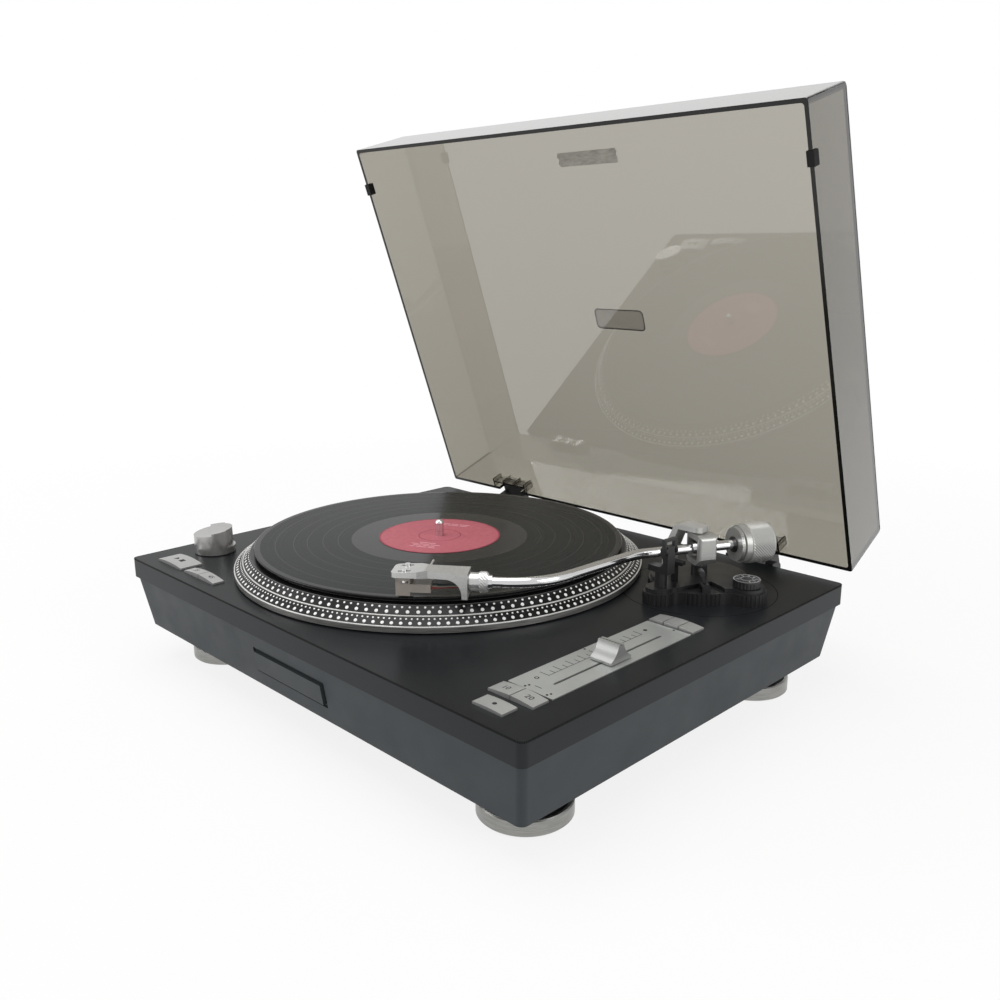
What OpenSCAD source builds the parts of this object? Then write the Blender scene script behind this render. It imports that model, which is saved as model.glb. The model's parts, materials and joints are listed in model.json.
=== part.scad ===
// Direct-drive disc jockey turntable with a hinged dust cover, loaded with a record.
// Pieces are drawn on the deck: x from its left edge, y from its front edge, z from its top face.

/* [Case] */
// Width of the deck
deck_w = 458; // [452:1:480]
// Depth of the deck
deck_d = 356; // [350:1:375]
// Height of the deck's side band
band_h = 15.7; // [14:0.1:20]
// Thickness of the deck's top
deck_t = 4; // [3.5:0.1:5]
// Thickness of the case walls
wall = 3; // [2.5:0.1:4]
// Corner radius of the deck
corner_r = 5; // [4.5:0.1:8]
// Height of the lower body
body_h = 42.8; // [40:0.1:55]
// Step from the band in to the lower body
body_step = 2; // [1:0.1:2.4]
// Further inset of the lower body at its underside
body_taper = 6.8; // [3:0.1:9]
// Thickness of the bottom cover
cover_t = 3; // [2:0.1:4]
// Width of the front plate
plate_w = 83; // [60:1:110]
// Height of the front plate
plate_h = 15; // [10:0.5:20]
// Distance of the front plate's top below the deck
plate_drop = 30.5; // [26:0.1:34]
// How far the front plate stands out of the wall
plate_proud = 1.6; // [1:0.1:2.5]

/* [Feet] */
// Height of the underside above the floor
stand_h = 29.1; // [26:0.1:34]
// Radius of a foot
foot_r = 30.8; // [25:0.1:34]
// Height of a foot's metal rim
foot_h = 12.4; // [9:0.1:16]
// Radius of a foot's rubber neck
neck_r = 22; // [12:0.1:23]
// Radius of a foot's screw
stem_r = 5; // [4:0.1:6]
// Distance of a foot's centre from the side of the deck
foot_side = 52.3; // [46:0.1:62]
// Distance of a front foot's centre from the front of the deck
foot_front = 56.7; // [46:0.1:64]
// Distance of a rear foot's centre from the rear of the deck
foot_rear = 44.9; // [43:0.1:60]

/* [Platter and record] */
// Distance of the spindle from the deck's left edge
platter_x = 189; // [184:0.1:194]
// Distance of the spindle from the deck's front edge
platter_y = 179.5; // [176:0.1:184]
// Radius of the platter at its rim
platter_r = 166.3; // [164:0.1:168]
// Running gap between rim and deck
platter_gap = 1; // [0.6:0.1:1.6]
// Height of the platter's top above the deck
platter_top = 16.3; // [15:0.1:18]
// Radius of the platter's top
platter_top_r = 153.3; // [151.5:0.1:155.5]
// Height of the lowest bright line
rim_low_z = 5; // [4.4:0.1:6]
// Radius of the middle bright line
rim_mid_r = 159.1; // [157.5:0.1:161]
// Height of the middle bright line
rim_mid_z = 10.5; // [9.5:0.1:12]
// Radius of the slip mat
mat_r = 147.3; // [130:0.1:148.5]
// Thickness of the slip mat
mat_t = 2.4; // [1:0.1:3]
// Radius of the record
record_r = 150.2; // [148:0.1:152]
// Thickness of the record
record_t = 2; // [1.4:0.1:2.4]
// Radius of the record's label
label_r = 50; // [45:0.5:52]
// Radius of the spindle
spindle_r = 3.6; // [3.4:0.01:3.7]
// Radius of the spindle inside the record and the mat
spindle_waist_r = 3.2; // [3:0.05:3.3]
// Height of the spindle above the record
spindle_up = 13.5; // [10:0.1:16]

/* [Tone arm] */
// Distance of the arm's pivot to the right of the spindle
pivot_dx = 195.5; // [193:0.1:199]
// Distance of the arm's pivot behind the spindle
pivot_dy = 88.5; // [85:0.1:92]
// Height of the arm's axis above the deck
arm_z = 32.6; // [32.2:0.1:34]
// Radius of the arm tube
tube_r = 3.7; // [3:0.1:4]
// Straight run out of the pivot
first_run = 42.6; // [36:0.1:48]
// Radius of the outward bend
first_bend_r = 46; // [40:0.5:60]
// Angle of the outward bend
first_bend = 24.6; // [20:0.1:28]
// Straight run between the bends
middle_run = 61; // [56:0.1:66]
// Radius of the inward bend
second_bend_r = 57; // [50:0.5:62]
// Angle of the inward bend
second_bend = 48.5; // [44:0.1:52]
// Distance from the inward bend to the stylus
head_run = 69; // [66:0.1:76]
// Heading of the arm at the record's edge, from straight ahead
rest_heading = 27.3; // [26:0.1:29]
// Heading of the parked arm
park_heading = 4.6; // [3:0.1:10]
// Distance of the arm rest from the pivot
rest_run = 43.7; // [43:0.1:48]
// Clearance of the stylus above the record
stylus_gap = 0.3; // [0.2:0.05:1]
// Radius of the counterweight
weight_r = 15; // [13:0.1:16]
// Length of the counterweight
weight_len = 24.4; // [20:0.5:32]
// Distance of the force dial behind the pivot
weight_back = 28.6; // [27:0.1:36]
// Radius of the round base let into the deck
disc_r = 58.2; // [55:0.1:60]
// Radius of the arm base's core
core_r = 38; // [37.5:0.1:40]
// Radius of the arm base's two lobes
lobe_r = 15; // [14:0.1:17]
// Height of the arm base's skirt
skirt_h = 9; // [8:0.1:10.5]
// Radius of the anti-skate knob
skate_r = 10; // [8:0.1:11]

/* [Controls] */
// Distance of the power knob from the deck's left edge
power_x = 33.9; // [32:0.1:36]
// Distance of the power knob from the deck's front edge
power_y = 59.1; // [56:0.1:66]
// Radius of the power knob
power_r = 17; // [14:0.1:17.5]
// Height of the power knob
power_h = 19.8; // [16:0.1:24]
// Width of the start key
start_w = 38; // [30:0.1:40]
// Depth of the start key
start_d = 19; // [14:0.1:20]
// Width of a speed key
speed_w = 22.6; // [18:0.1:24]
// Depth of a speed key
speed_d = 9.6; // [8:0.1:12]
// Distance of the left keys from the deck's left edge
start_x = 23; // [20:0.1:26]
// Distance of the left keys from the deck's front edge
start_y = 12.6; // [12:0.1:16]
// Height of a key above the deck
key_h = 1.3; // [1.2:0.1:2.2]
// Radius of the arch across a key, or across a row of keys
key_arch_r = 125; // [100:5:300]
// Travel of a key
key_travel = 1; // [0.6:0.1:1.1]
// Width of the pitch panel
pitch_w = 36.5; // [34:0.1:40]
// Distance of the pitch panel from the deck's right edge
pitch_in = 23.5; // [20:0.1:26]
// Distance of the pitch panel from the deck's front edge
pitch_y = 49.5; // [48.5:0.1:51]
// Depth of the pitch panel
pitch_d = 137.5; // [130:0.1:139]
// Length of the fader's slot
slot_len = 106; // [90:0.5:110]
// Width of the fader's slot
slot_w = 2; // [1.8:0.1:2.6]
// Height of the fader's cap
fader_h = 11.5; // [9:0.1:14]

/* [Dust cover] */
// Width of the cover
lid_w = 458; // [450:0.1:458]
// Depth of the cover
lid_d = 353.4; // [348:0.1:354]
// Height of the cover
lid_h = 55; // [54:0.1:62]
// Thickness of the cover
lid_t = 3; // [2:0.1:3.6]
// Inset of the cover's top from its rim
lid_taper = 3.2; // [1:0.1:5]
// Gap between the closed cover and the deck
lid_gap = 1.5; // [1.2:0.1:2]
// Distance of the closed cover in from the rear of the deck
lid_in = 0; // [0:0.1:1]
// Angle of the open cover
lid_open = 70.6; // [60:0.1:75]
// Distance of the hinge axis behind the deck
hinge_back = 9.5; // [9:0.1:11]
// Depth of the hinge axis below the deck's top
hinge_drop = 4.3; // [4:0.1:5]
// Distance of a hinge from the cover's side
hinge_side = 62.5; // [56:0.1:70]
// Width of a hinge pocket
pocket_w = 45; // [40:0.1:48]

/* [Hidden] */
$fn = 64;
hull_fn = 32;
over = 1;
running = 0.05;
clear = 0.3;

// Case
low_z = -(band_h + body_h);
floor_z = low_z - stand_h;
lip_h = 6;
lip_t = 3;
post_r = 5;
post_in = 16.5;
rib_t = 3;
rib_from = wall + clear + 1;
screw_r = 1.5;
head_r = 3;
head_h = 1.5;
plate_mid = deck_w / 2 - 3;
plate_margin = 2.5;
pocket_deep = 1.4;
front_lean = atan(body_taper / body_h);
boss_r = 10;
boss_h = 12;
foot_travel = 6;
foot_gap = 0.4;
pad_r = 24;
pad_h = 1.6;
feet = [[foot_side, foot_front], [deck_w - foot_side, foot_front],
        [foot_side, deck_d - foot_rear], [deck_w - foot_side, deck_d - foot_rear]];
posts = [for (x = [post_in, deck_w / 2, deck_w - post_in], y = [post_in, deck_d - post_in]) [x, y]];

// Platter, motor and record
web_t = 5;
web_z = platter_top - web_t;
rim_wall = 19;
hub_r = 18;
hub_z = web_z - 2.5;
mat_top = platter_top + mat_t;
record_top = mat_top + record_t;
label_t = 0.2;
spindle_top = record_top + spindle_up;
shaft_r = 5;
shoulder_r = 11;
shoulder_t = 1;
bearing_r = 14;
bearing_low = -45;
bearing_floor = 2;
flange_r = 24;
flange_t = 3;
motor_t = 2;
motor_r = 78;
motor_open_r = 66;
magnet_r = 58;
magnet_t = 8;
magnet_low = -2;
coil_ring_r = 34;
coil_r = 5.5;
coil_top = 6;
coil_count = 12;
line_r = 0.5;

// Tone arm
pivot_x = platter_x + pivot_dx;
pivot_y = platter_y + pivot_dy;
disc_flange = 4;
lobes = [[-4.5, -44.5, lobe_r - 3.5], [40, 2, lobe_r]];
lobe_span = 85;
lobe_fillet = 8;
flute_r = 1.1;
flute_pitch = 3.3;
platform_h = 3;
platform_in = 2;
cue_well = [[16.5, -8.5], [12.5, -19.5], [7, -37], [3, -60],
            [60, -60], [60, -20], [38.5, -18.5], [29, -13]];
base_top = skirt_h + platform_h;
ring_w = 22;
ring_h = 23;
ring_front = 6.5;
ring_back = 9;
ring_open = 15;
ring_round = 4;
ring_chamfer = 5;
ring_edge = 3;
ring_groove = 0.4;
ring_groove_z = -3.4;
bearing_pin_r = 2;
bearing_pin_in = 3;
pivot_pin_r = 1.5;
pivot_pin_in = 2.5;
block_l = 12;
block_w = 12;
block_h = 10;
yoke_gap = 1.2;
yoke_t = 4;
yoke_w = 13.5;
yoke_right = 3.5;
yoke_bend = 17;
yoke_foot = 29.5;
yoke_leg = 5.5;
yoke_knee = 14;
yoke_round = 4;
post_top_gap = 0.6;
pivot_post_r = 6;
bush_r = 6;
bush_back = 1;
dial_t = 3;
dial_r = 13;
ring_len = 5;
shaft_len = 55;
core_tube_r = tube_r - 0.4;
lifter_run = 26;
lifter_w = 5.8;
lifter_t = 2.5;
lifter_gap = 0.9;
lifter_post_r = 2.5;
lifter_heading = 9;
lifter_low = 8;
cue_at = [20.6, -22.5];
cue_turn = -135;
cue_z = skirt_h + 4;
cue_barrel_r = 3;
cue_barrel_l = 8;
cue_pin_r = 1.5;
cue_lean = 16;
cue_len = 10.5;
ear_t = 2;
rest_gap = 1;
rest_wall = 4.5;
rest_deep = 8;
rest_post_r = 4.5;
clip_pin_r = 1.4;
clip_r = 3.2;
skate_at = [41, 0.3];
skate_h = 5.5;
skate_shaft_r = 3;

// Headshell, from the stylus; x runs forward along the shell
shell_front = 7;
shell_bend = 16;
shell_rear = 45.2;
shell_top = 9;
shell_rear_top = 7.4;
shell_nose_top = 7.7;
shell_low = 4.3;
shell_w = 20.6;
shell_neck_w = 14;
shell_rear_w = 19.8;
shell_neck_low = 3.5;
shell_leg = 3.9;
shell_leg_low = -9.9;
shell_arch_r = 11;
shell_slot_w = 2;
shell_slot_l = 9;
shell_slot_y = 6.35;
plug_r = 5;
plug_len = 7;
collar_len = 12.5;
collar_r = 6.4;
knurl_r = 7.1;
knurl_len = 5.5;
socket_len = 9;
cart_front = 4.5;
cart_split = -5.4;
cart_back = -19.6;
cart_w = 12;
cart_low = -9.7;
cart_flange_w = 17;
cart_flange_l = 8;
cart_flange_t = 2.5;
cart_body_low = -7.1;
cart_body_top = -1.3;
cart_screw_x = -2;
cart_screw_r = 1.2;
tip_low = record_top + stylus_gap - arm_z;
holder_h = 1.5;
wire_r = 0.45;
wire_end_z = -3;
wire_pin_r = 0.85;
wire_pin_l = 4;
lift_r = 0.8;
lift_len = 15;

// Controls
key_clear = 0.3;
key_gap = 0.8;
key_deep = 7;
board_t = 1.6;
board_drop = 12;
switch_r = 2.5;
strobe_h = 0.5;
power_shaft_r = 4;
power_skirt_h = 5.2;
power_in = 1.8;
power_step = 1.6;
power_slant = 7;
power_heading = 62;
power_face = 9.7;
power_ridge = 2.5;
speed_x = start_x + start_w + 6;
pitch_x = deck_w - pitch_in - pitch_w;
panel_up = 0.5;
panel_in = 1;
slot_x = pitch_x + pitch_w - 13.2;
slot_y = pitch_y + 68.5;
track_w = 13;
track_h = 9;
track_z = -deck_t;
stem_w = slot_w - 0.6;
stem_l = 6;
fader_w = 17;
fader_l = 20;
fader_ridge = 5;
fader_gap = 0.5;
range_d = 13.2;
range_y = pitch_y - 3.4 - range_d;
range_w = (pitch_w - key_gap) / 2;
rear_key_d = 13;
rear_key_y = pitch_y + pitch_d + 1.6;
rear_key_w = (pitch_w - 2 * key_gap) / 3;
quartz_w = 24.2;
quartz_d = 12.5;
quartz_x = pitch_x + 6.2;
quartz_y = range_y - 6 - quartz_d;

// Dust cover
lid_x = (deck_w - lid_w) / 2;
lid_y = deck_d - lid_in - lid_d;
lid_rear = deck_d - lid_in;
lid_round = 2.4;
hinge_y = deck_d + hinge_back;
pin_r = 2.5;
barrel_r = 5.3;
knuckle_w = 7;
leaf_w = 30;
leaf_t = 3.4;
leaf_up = 5.6;
notch_h = 10;
leaf_y = lid_rear - lid_t - lid_taper * (notch_h - 0.6 - leaf_t + leaf_up) / lid_h - leaf_t;
leaf_z = lid_gap + notch_h - 0.6 - leaf_t;
pocket_t = 1.5;
pocket_h = 12;
fin_t = 1.6;
fin_deep = 2.2;
badge_w = 54;
badge_d = 19;
badge_r = 4;
badge_deep = 0.8;
badge_at = 175;
bumper_l = 10;
bumper_t = 1.2;
bumper_h = 6;
bumper_at = 37;
hinges = [lid_x + hinge_side, deck_w - lid_x - hinge_side - pocket_w];

// Origin: middle of the whole object's box, at the floor, with the cover open
open_rear = hinge_y + (lid_rear - lid_taper - hinge_y) * cos(lid_open)
            + (lid_gap + lid_h + hinge_drop) * sin(lid_open);
origin = [deck_w / 2, open_rear / 2, floor_z];

// Rear sockets
jack_r = 4.15;
jack_len = 8;
jack_z = low_z + 20;
jack_x = [deck_w - 120, deck_w - 104];
earth_x = deck_w - 88;
earth_r = 3;
block_in = 10;
jack_block_w = 52;
socket_face = deck_d - body_step - 1.5;
inlet_x = 90;
inlet_w = 27;
inlet_h = 19;
inlet_deep = 24;
board_w = 130;
board_d = 70;
board_stand = 5;
core_w = 60;
core_d = 50;
core_h = 34;

charcoal = "#232425";
slate = "#3a3e42";
black = "#141415";
silver = "#b9bab8";
chrome = "#d9dadb";
smoke = "#8b887d";

// Frames
module on_deck() translate([-origin[0], -origin[1], -origin[2]]) children();

module at_spindle() on_deck() translate([platter_x, platter_y, 0]) children();

module at_pivot() on_deck() translate([pivot_x, pivot_y, 0]) children();

module heading(angle) rotate([0, 0, -90 - angle]) children();

module at_arm() at_pivot() translate([0, 0, arm_z]) heading(rest_heading) children();

module at_rest() at_pivot() heading(park_heading) translate([rest_run, 0, 0]) children();

module after_bend(run, radius, angle)
    translate([run, sign(angle) * radius, 0]) rotate([0, 0, angle]) translate([0, -sign(angle) * radius, 0])
        children();

module at_head()
    at_arm() after_bend(first_run, first_bend_r, first_bend)
        after_bend(middle_run, second_bend_r, -second_bend)
        translate([head_run, 0, 0]) children();

module at_cue() at_pivot() translate([cue_at[0], cue_at[1], cue_z]) rotate([0, 0, cue_turn]) children();

module opened()
    on_deck() translate([0, hinge_y, -hinge_drop]) rotate([-lid_open, 0, 0])
        translate([0, -hinge_y, hinge_drop])
        children();

// Shared shapes
module rounded(w, d, r) {
    translate([r, 0]) square([w - 2 * r, d]);
    translate([0, r]) square([w, d - 2 * r]);
    for (x = [r, w - r], y = [r, d - r]) translate([x, y]) circle(r);
}

module slab(x, y, w, d, r, low, high)
    translate([x, y, low]) linear_extrude(high - low) rounded(w, d, r);

module along_x(r, from, to) translate([from, 0, 0]) rotate([0, 90, 0]) cylinder(r = r, h = to - from);

module along_y(r, from, to) translate([0, to, 0]) rotate([90, 0, 0]) cylinder(r = r, h = to - from);

module tube_ring(r, bore, low, high)
    translate([0, 0, low]) difference() {
        cylinder(r = r, h = high - low);
        translate([0, 0, -over]) cylinder(r = bore, h = high - low + 2 * over);
    }

module across(width) rotate([90, 0, 0]) translate([0, 0, -width / 2]) linear_extrude(width) children();

module tapered(inset, grow)
    hull() {
        slab(inset, inset, deck_w - 2 * inset, deck_d - 2 * inset, corner_r, -band_h + grow - 0.1,
             -band_h + grow,
             $fn = hull_fn);
        slab(inset + body_taper, inset + body_taper, deck_w - 2 * (inset + body_taper),
             deck_d - 2 * (inset + body_taper), corner_r, low_z - grow, low_z - grow + 0.1, $fn = hull_fn);
    }

module key_hole(x, y, w, d, low = -deck_t - over)
    translate([x - key_clear, y - key_clear, low]) cube([w + 2 * key_clear, d + 2 * key_clear, over - low]);

module key(x, y, w, d, arch_x, arch_w) {
    top = key_h + key_arch_r - sqrt(key_arch_r * key_arch_r - arch_w * arch_w / 4);
    on_deck() translate([0, y, 0]) {
        intersection() {
            translate([x, 0, -key_deep]) cube([w, d, key_deep + top]);
            translate([arch_x + arch_w / 2, 0, top - key_arch_r])
                along_y(key_arch_r, -over, d + over, $fn = 128);
        }
        translate([x, -1.5, -key_deep]) cube([w, d + 3, key_deep - deck_t - clear]);
    }
}

// Case
module top_deck()
    color(charcoal) on_deck() difference() {
        slab(0, 0, deck_w, deck_d, corner_r, -band_h, 0);
        slab(wall, wall, deck_w - 2 * wall, deck_d - 2 * wall, corner_r - wall, -band_h - over, -deck_t);
        translate([platter_x, platter_y, -deck_t - over]) cylinder(r = motor_open_r, h = deck_t + 2 * over);
        translate([pivot_x, pivot_y, -deck_t - over]) cylinder(r = disc_r + clear, h = deck_t + 2 * over);
        translate([power_x, power_y, -deck_t - over])
            cylinder(r = power_shaft_r + running, h = deck_t + 2 * over);
        key_hole(start_x, start_y, start_w, start_d);
        key_hole(speed_x, start_y, 2 * speed_w + key_gap, speed_d);
        key_hole(quartz_x, quartz_y, quartz_w, quartz_d);
        key_hole(pitch_x, range_y, pitch_w, range_d);
        key_hole(pitch_x, rear_key_y, pitch_w, rear_key_d);
        translate([pitch_x - clear, pitch_y - clear, -panel_in])
            cube([pitch_w + 2 * clear, pitch_d + 2 * clear, panel_in + over]);
        translate([slot_x - slot_w / 2 - 1, slot_y - slot_len / 2 - 1, -deck_t - over])
            cube([slot_w + 2, slot_len + 2, deck_t + over]);
    }

module on_front_face()
    on_deck() translate([plate_mid, body_step, -band_h]) rotate([front_lean, 0, 0])
        translate([0, 0, band_h - plate_drop]) children();

module lower_body()
    color(slate) difference() {
        union() {
            on_deck() difference() {
                tapered(body_step, 0);
                tapered(body_step + wall, over);
            }
            on_deck() difference() {
                slab(wall + clear, wall + clear, deck_w - 2 * (wall + clear), deck_d - 2 * (wall + clear),
                     corner_r - wall, -band_h - 3, -band_h + lip_h);
                slab(wall + clear + lip_t, wall + clear + lip_t, deck_w - 2 * (wall + clear + lip_t),
                     deck_d - 2 * (wall + clear + lip_t), 1, -band_h - 3 - over, -band_h + lip_h + over);
            }
            on_deck() for (p = posts) {
                translate([p[0], p[1], low_z + cover_t])
                    cylinder(r = post_r, h = body_h - cover_t + lip_h - 1);
                translate([p[0] - rib_t / 2, p[1] < deck_d / 2 ? rib_from : p[1], -band_h - 3])
                    cube([rib_t, post_in - rib_from, lip_h + 2]);
            }
        }
        on_deck() for (p = posts) translate([p[0], p[1], low_z + cover_t - over])
            cylinder(r = screw_r + running, h = 18);
        on_front_face() translate([-plate_w / 2 - plate_margin, -over, -plate_h - plate_margin])
            cube([plate_w + 2 * plate_margin, over + pocket_deep, plate_h + 2 * plate_margin]);
        on_deck() translate([jack_x[0] - block_in, deck_d - 40, jack_z - inlet_h / 2])
            cube([jack_block_w, 40, inlet_h]);
        on_deck() translate([inlet_x, deck_d - 40, jack_z - inlet_h / 2]) cube([inlet_w, 40, inlet_h]);
    }

module bottom_cover() {
    cover_in = body_step + body_taper + wall + 0.5;
    color(black) on_deck() difference() {
        union() {
            slab(cover_in, cover_in, deck_w - 2 * cover_in, deck_d - 2 * cover_in, corner_r, low_z,
                 low_z + cover_t);
            for (f = feet) translate([f[0], f[1], low_z + cover_t - 0.5])
                cylinder(r = boss_r, h = boss_h + 0.5);
        }
        for (f = feet) translate([f[0], f[1], low_z - over])
            cylinder(r = stem_r + running, h = cover_t + boss_h + 2 * over);
        for (p = posts) translate([p[0], p[1], low_z - over])
            cylinder(r = screw_r + running, h = cover_t + 2 * over);
    }
}

module front_plate()
    color(slate) on_front_face() translate([-plate_w / 2, -plate_proud, -plate_h])
        cube([plate_w, plate_proud + pocket_deep, plate_h]);

module case_screws()
    color("#4a4a4c") on_deck() for (p = posts) translate([p[0], p[1], low_z]) {
        cylinder(r = screw_r, h = cover_t + 12);
        translate([0, 0, -head_h]) cylinder(r = head_r, h = head_h);
    }

module foot(at)
    color(silver) on_deck() translate([at[0], at[1], floor_z]) {
        cylinder(r = pad_r, h = pad_h + over);
        translate([0, 0, pad_h]) difference() {
            rotate_extrude() polygon([[0, 0], [foot_r - 1, 0], [foot_r, 1], [foot_r, foot_h - pad_h - 0.8],
                                      [foot_r - 0.8, foot_h - pad_h], [0, foot_h - pad_h]]);
            translate([0, 0, foot_h - pad_h - 2]) cylinder(r = foot_r - 2.5, h = 2 + over);
        }
        cylinder(r = neck_r, h = stand_h - foot_gap);
        cylinder(r = stem_r, h = stand_h + cover_t + boss_h - 1);
    }

module foot_front_left() foot(feet[0]);

module foot_front_right() foot(feet[1]);

module foot_rear_left() foot(feet[2]);

module foot_rear_right() foot(feet[3]);

// Platter, motor and record
module platter()
    color("#2b2b2c") at_spindle() rotate_extrude($fn = 180) {
        difference() {
            polygon([[shaft_r + running, hub_z], [hub_r, hub_z], [hub_r, web_z],
                     [platter_r - rim_wall, web_z], [platter_r - rim_wall, platter_gap],
                     [platter_r, platter_gap],
                     [platter_r, rim_low_z], [rim_mid_r, rim_mid_z], [platter_top_r, platter_top],
                     [shaft_r + running, platter_top]]);
        }
        translate([platter_r - line_r, rim_low_z]) circle(line_r);
        translate([rim_mid_r, rim_mid_z]) circle(line_r);
        translate([platter_top_r - line_r, platter_top - line_r]) circle(line_r);
    }

module spindle()
    color(chrome) at_spindle() rotate_extrude()
        polygon([[0, bearing_low], [shaft_r, bearing_low], [shaft_r, hub_z - shoulder_t],
                 [shoulder_r, hub_z - shoulder_t], [shoulder_r, hub_z], [shaft_r, hub_z],
                 [shaft_r, platter_top],
                 [spindle_waist_r, platter_top], [spindle_waist_r, record_top + label_t],
                 [spindle_r, record_top + label_t], [spindle_r, spindle_top - 2.4],
                 [spindle_r - 0.9, spindle_top - 0.7], [spindle_r - 2.2, spindle_top], [0, spindle_top]]);

module rotor_magnet()
    color("#55504a") at_spindle() tube_ring(magnet_r, magnet_r - magnet_t, magnet_low, web_z);

module slip_mat()
    color("#1b1b1b") at_spindle() tube_ring(mat_r, spindle_r + running, platter_top, mat_top);

module record()
    color("#0d0d0e") at_spindle() rotate_extrude($fn = 180)
        polygon([[spindle_r + running, mat_top], [record_r - 0.6, mat_top],
                 [record_r, mat_top + record_t / 2],
                 [record_r - 0.6, record_top], [spindle_r + running, record_top]]);

module record_label()
    color("#c4576f") at_spindle() tube_ring(label_r, spindle_r + running, record_top, record_top + label_t);

module platter_bearing() {
    low = bearing_low - bearing_floor;
    plate_low = -deck_t - motor_t;
    color("#8c8a84") at_spindle() difference() {
        union() {
            translate([0, 0, low]) cylinder(r = bearing_r, h = hub_z - shoulder_t - 1 - low);
            translate([0, 0, plate_low - flange_t]) cylinder(r = flange_r, h = flange_t);
        }
        translate([0, 0, bearing_low - 0.1]) cylinder(r = shaft_r + running, h = hub_z - bearing_low + over);
    }
}

module motor_stator()
    color("#7a5a34") at_spindle() {
        tube_ring(motor_r, bearing_r + running, -deck_t - motor_t, -deck_t);
        for (i = [0 : coil_count - 1]) rotate([0, 0, 360 * i / coil_count])
            translate([coil_ring_r, 0, -deck_t - 0.5])
            cylinder(r = coil_r, h = deck_t + coil_top + 0.5);
    }

module main_board()
    color("#2f5c3a") on_deck() translate([deck_w / 2 + 40, deck_d - 130, low_z + cover_t]) {
        translate([0, 0, board_stand]) cube([board_w, board_d, board_t]);
        for (x = [5, board_w - 5], y = [5, board_d - 5]) translate([x, y, 0])
            cylinder(r = 3, h = board_stand);
        translate([25, 15, board_stand + board_t]) cube([30, 30, 4]);
        translate([80, 20, board_stand + board_t]) cylinder(r = 8, h = 18);
        translate([105, 20, board_stand + board_t]) cylinder(r = 8, h = 18);
    }

module transformer()
    color("#6d675d") on_deck() translate([inlet_x - 15, deck_d - 130, low_z + cover_t]) {
        cube([core_w, core_d, 3]);
        translate([8, 0, 0]) cube([core_w - 16, core_d, core_h]);
    }

module switch_boards() {
    left_w = speed_x + 2 * speed_w + key_gap - start_x + 4;
    right_low = -deck_t - track_h;
    right_keys = [[quartz_x + quartz_w / 2, quartz_y + quartz_d / 2],
                  [pitch_x + range_w / 2, range_y + range_d / 2],
                  [pitch_x + pitch_w - range_w / 2, range_y + range_d / 2],
                  [pitch_x + rear_key_w / 2, rear_key_y + rear_key_d / 2],
                  [pitch_x + pitch_w / 2, rear_key_y + rear_key_d / 2],
                  [pitch_x + pitch_w - rear_key_w / 2, rear_key_y + rear_key_d / 2]];
    color("#2f5c3a") on_deck() {
        translate([start_x - 0.5, start_y - 4, -board_drop - board_t]) cube([left_w, start_d + 12, board_t]);
        for (x = [start_x + 2, speed_x + 2 * speed_w]) translate([x, start_y + start_d + 5, -board_drop])
            cylinder(r = 2, h = board_drop - deck_t);
        for (x = [start_x + start_w / 2, speed_x + speed_w / 2, speed_x + key_gap + 1.5 * speed_w])
            translate([x, start_y + speed_d / 2, -board_drop])
                cylinder(r = switch_r, h = board_drop - key_deep - key_travel - clear);
        translate([pitch_x - 1, quartz_y - 1, right_low - board_t])
            cube([pitch_w + 2, rear_key_y + rear_key_d - quartz_y + 2, board_t]);
        for (x = [pitch_x + 2, pitch_x + pitch_w - 2], y = [pitch_y + 2, pitch_y + pitch_d - 5])
            translate([x, y, right_low]) cylinder(r = 2, h = track_h);
        for (k = right_keys) translate([k[0], k[1], right_low])
            cylinder(r = switch_r, h = -right_low - key_deep - key_travel - clear);
    }
}

module rear_sockets()
    color("#2a2a2b") on_deck() {
        translate([jack_x[0] - block_in, socket_face - inlet_deep, jack_z - inlet_h / 2])
            cube([jack_block_w, inlet_deep, inlet_h]);
        for (x = jack_x) translate([x, 0, jack_z]) along_y(jack_r, socket_face, socket_face + jack_len);
        translate([earth_x, 0, jack_z]) along_y(earth_r, socket_face, socket_face + jack_len - 2);
        translate([inlet_x, socket_face - inlet_deep, jack_z - inlet_h / 2]) difference() {
            cube([inlet_w, inlet_deep, inlet_h]);
            translate([2, 4, 2]) cube([inlet_w - 4, inlet_deep, inlet_h - 4]);
        }
    }

// Tone arm
module arm_base_disc()
    color(charcoal) at_pivot() {
        tube_ring(disc_r, 8, -deck_t, 0);
        tube_ring(disc_r + disc_flange, 8, -deck_t - 2, -deck_t);
    }

module base_outline()
    offset(r = -lobe_fillet) offset(delta = lobe_fillet) {
        circle(core_r);
        for (c = lobes) translate([c[0], c[1]]) circle(c[2]);
    }

module flutes() {
    core_step = flute_pitch / core_r * 180 / PI;
    for (span = [[36, 232], [-68, -29]], a = [span[0] : core_step : span[1]])
        rotate([0, 0, a]) translate([core_r + 0.4, 0]) circle(flute_r, $fn = 24);
    for (c = lobes) translate([c[0], c[1]]) rotate([0, 0, atan2(c[1], c[0])])
        let (step = flute_pitch / c[2] * 180 / PI, n = floor(lobe_span / step)) for (i = [-n : n])
            rotate([0, 0, i * step]) translate([c[2] + 0.4, 0]) circle(flute_r, $fn = 24);
}

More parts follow.
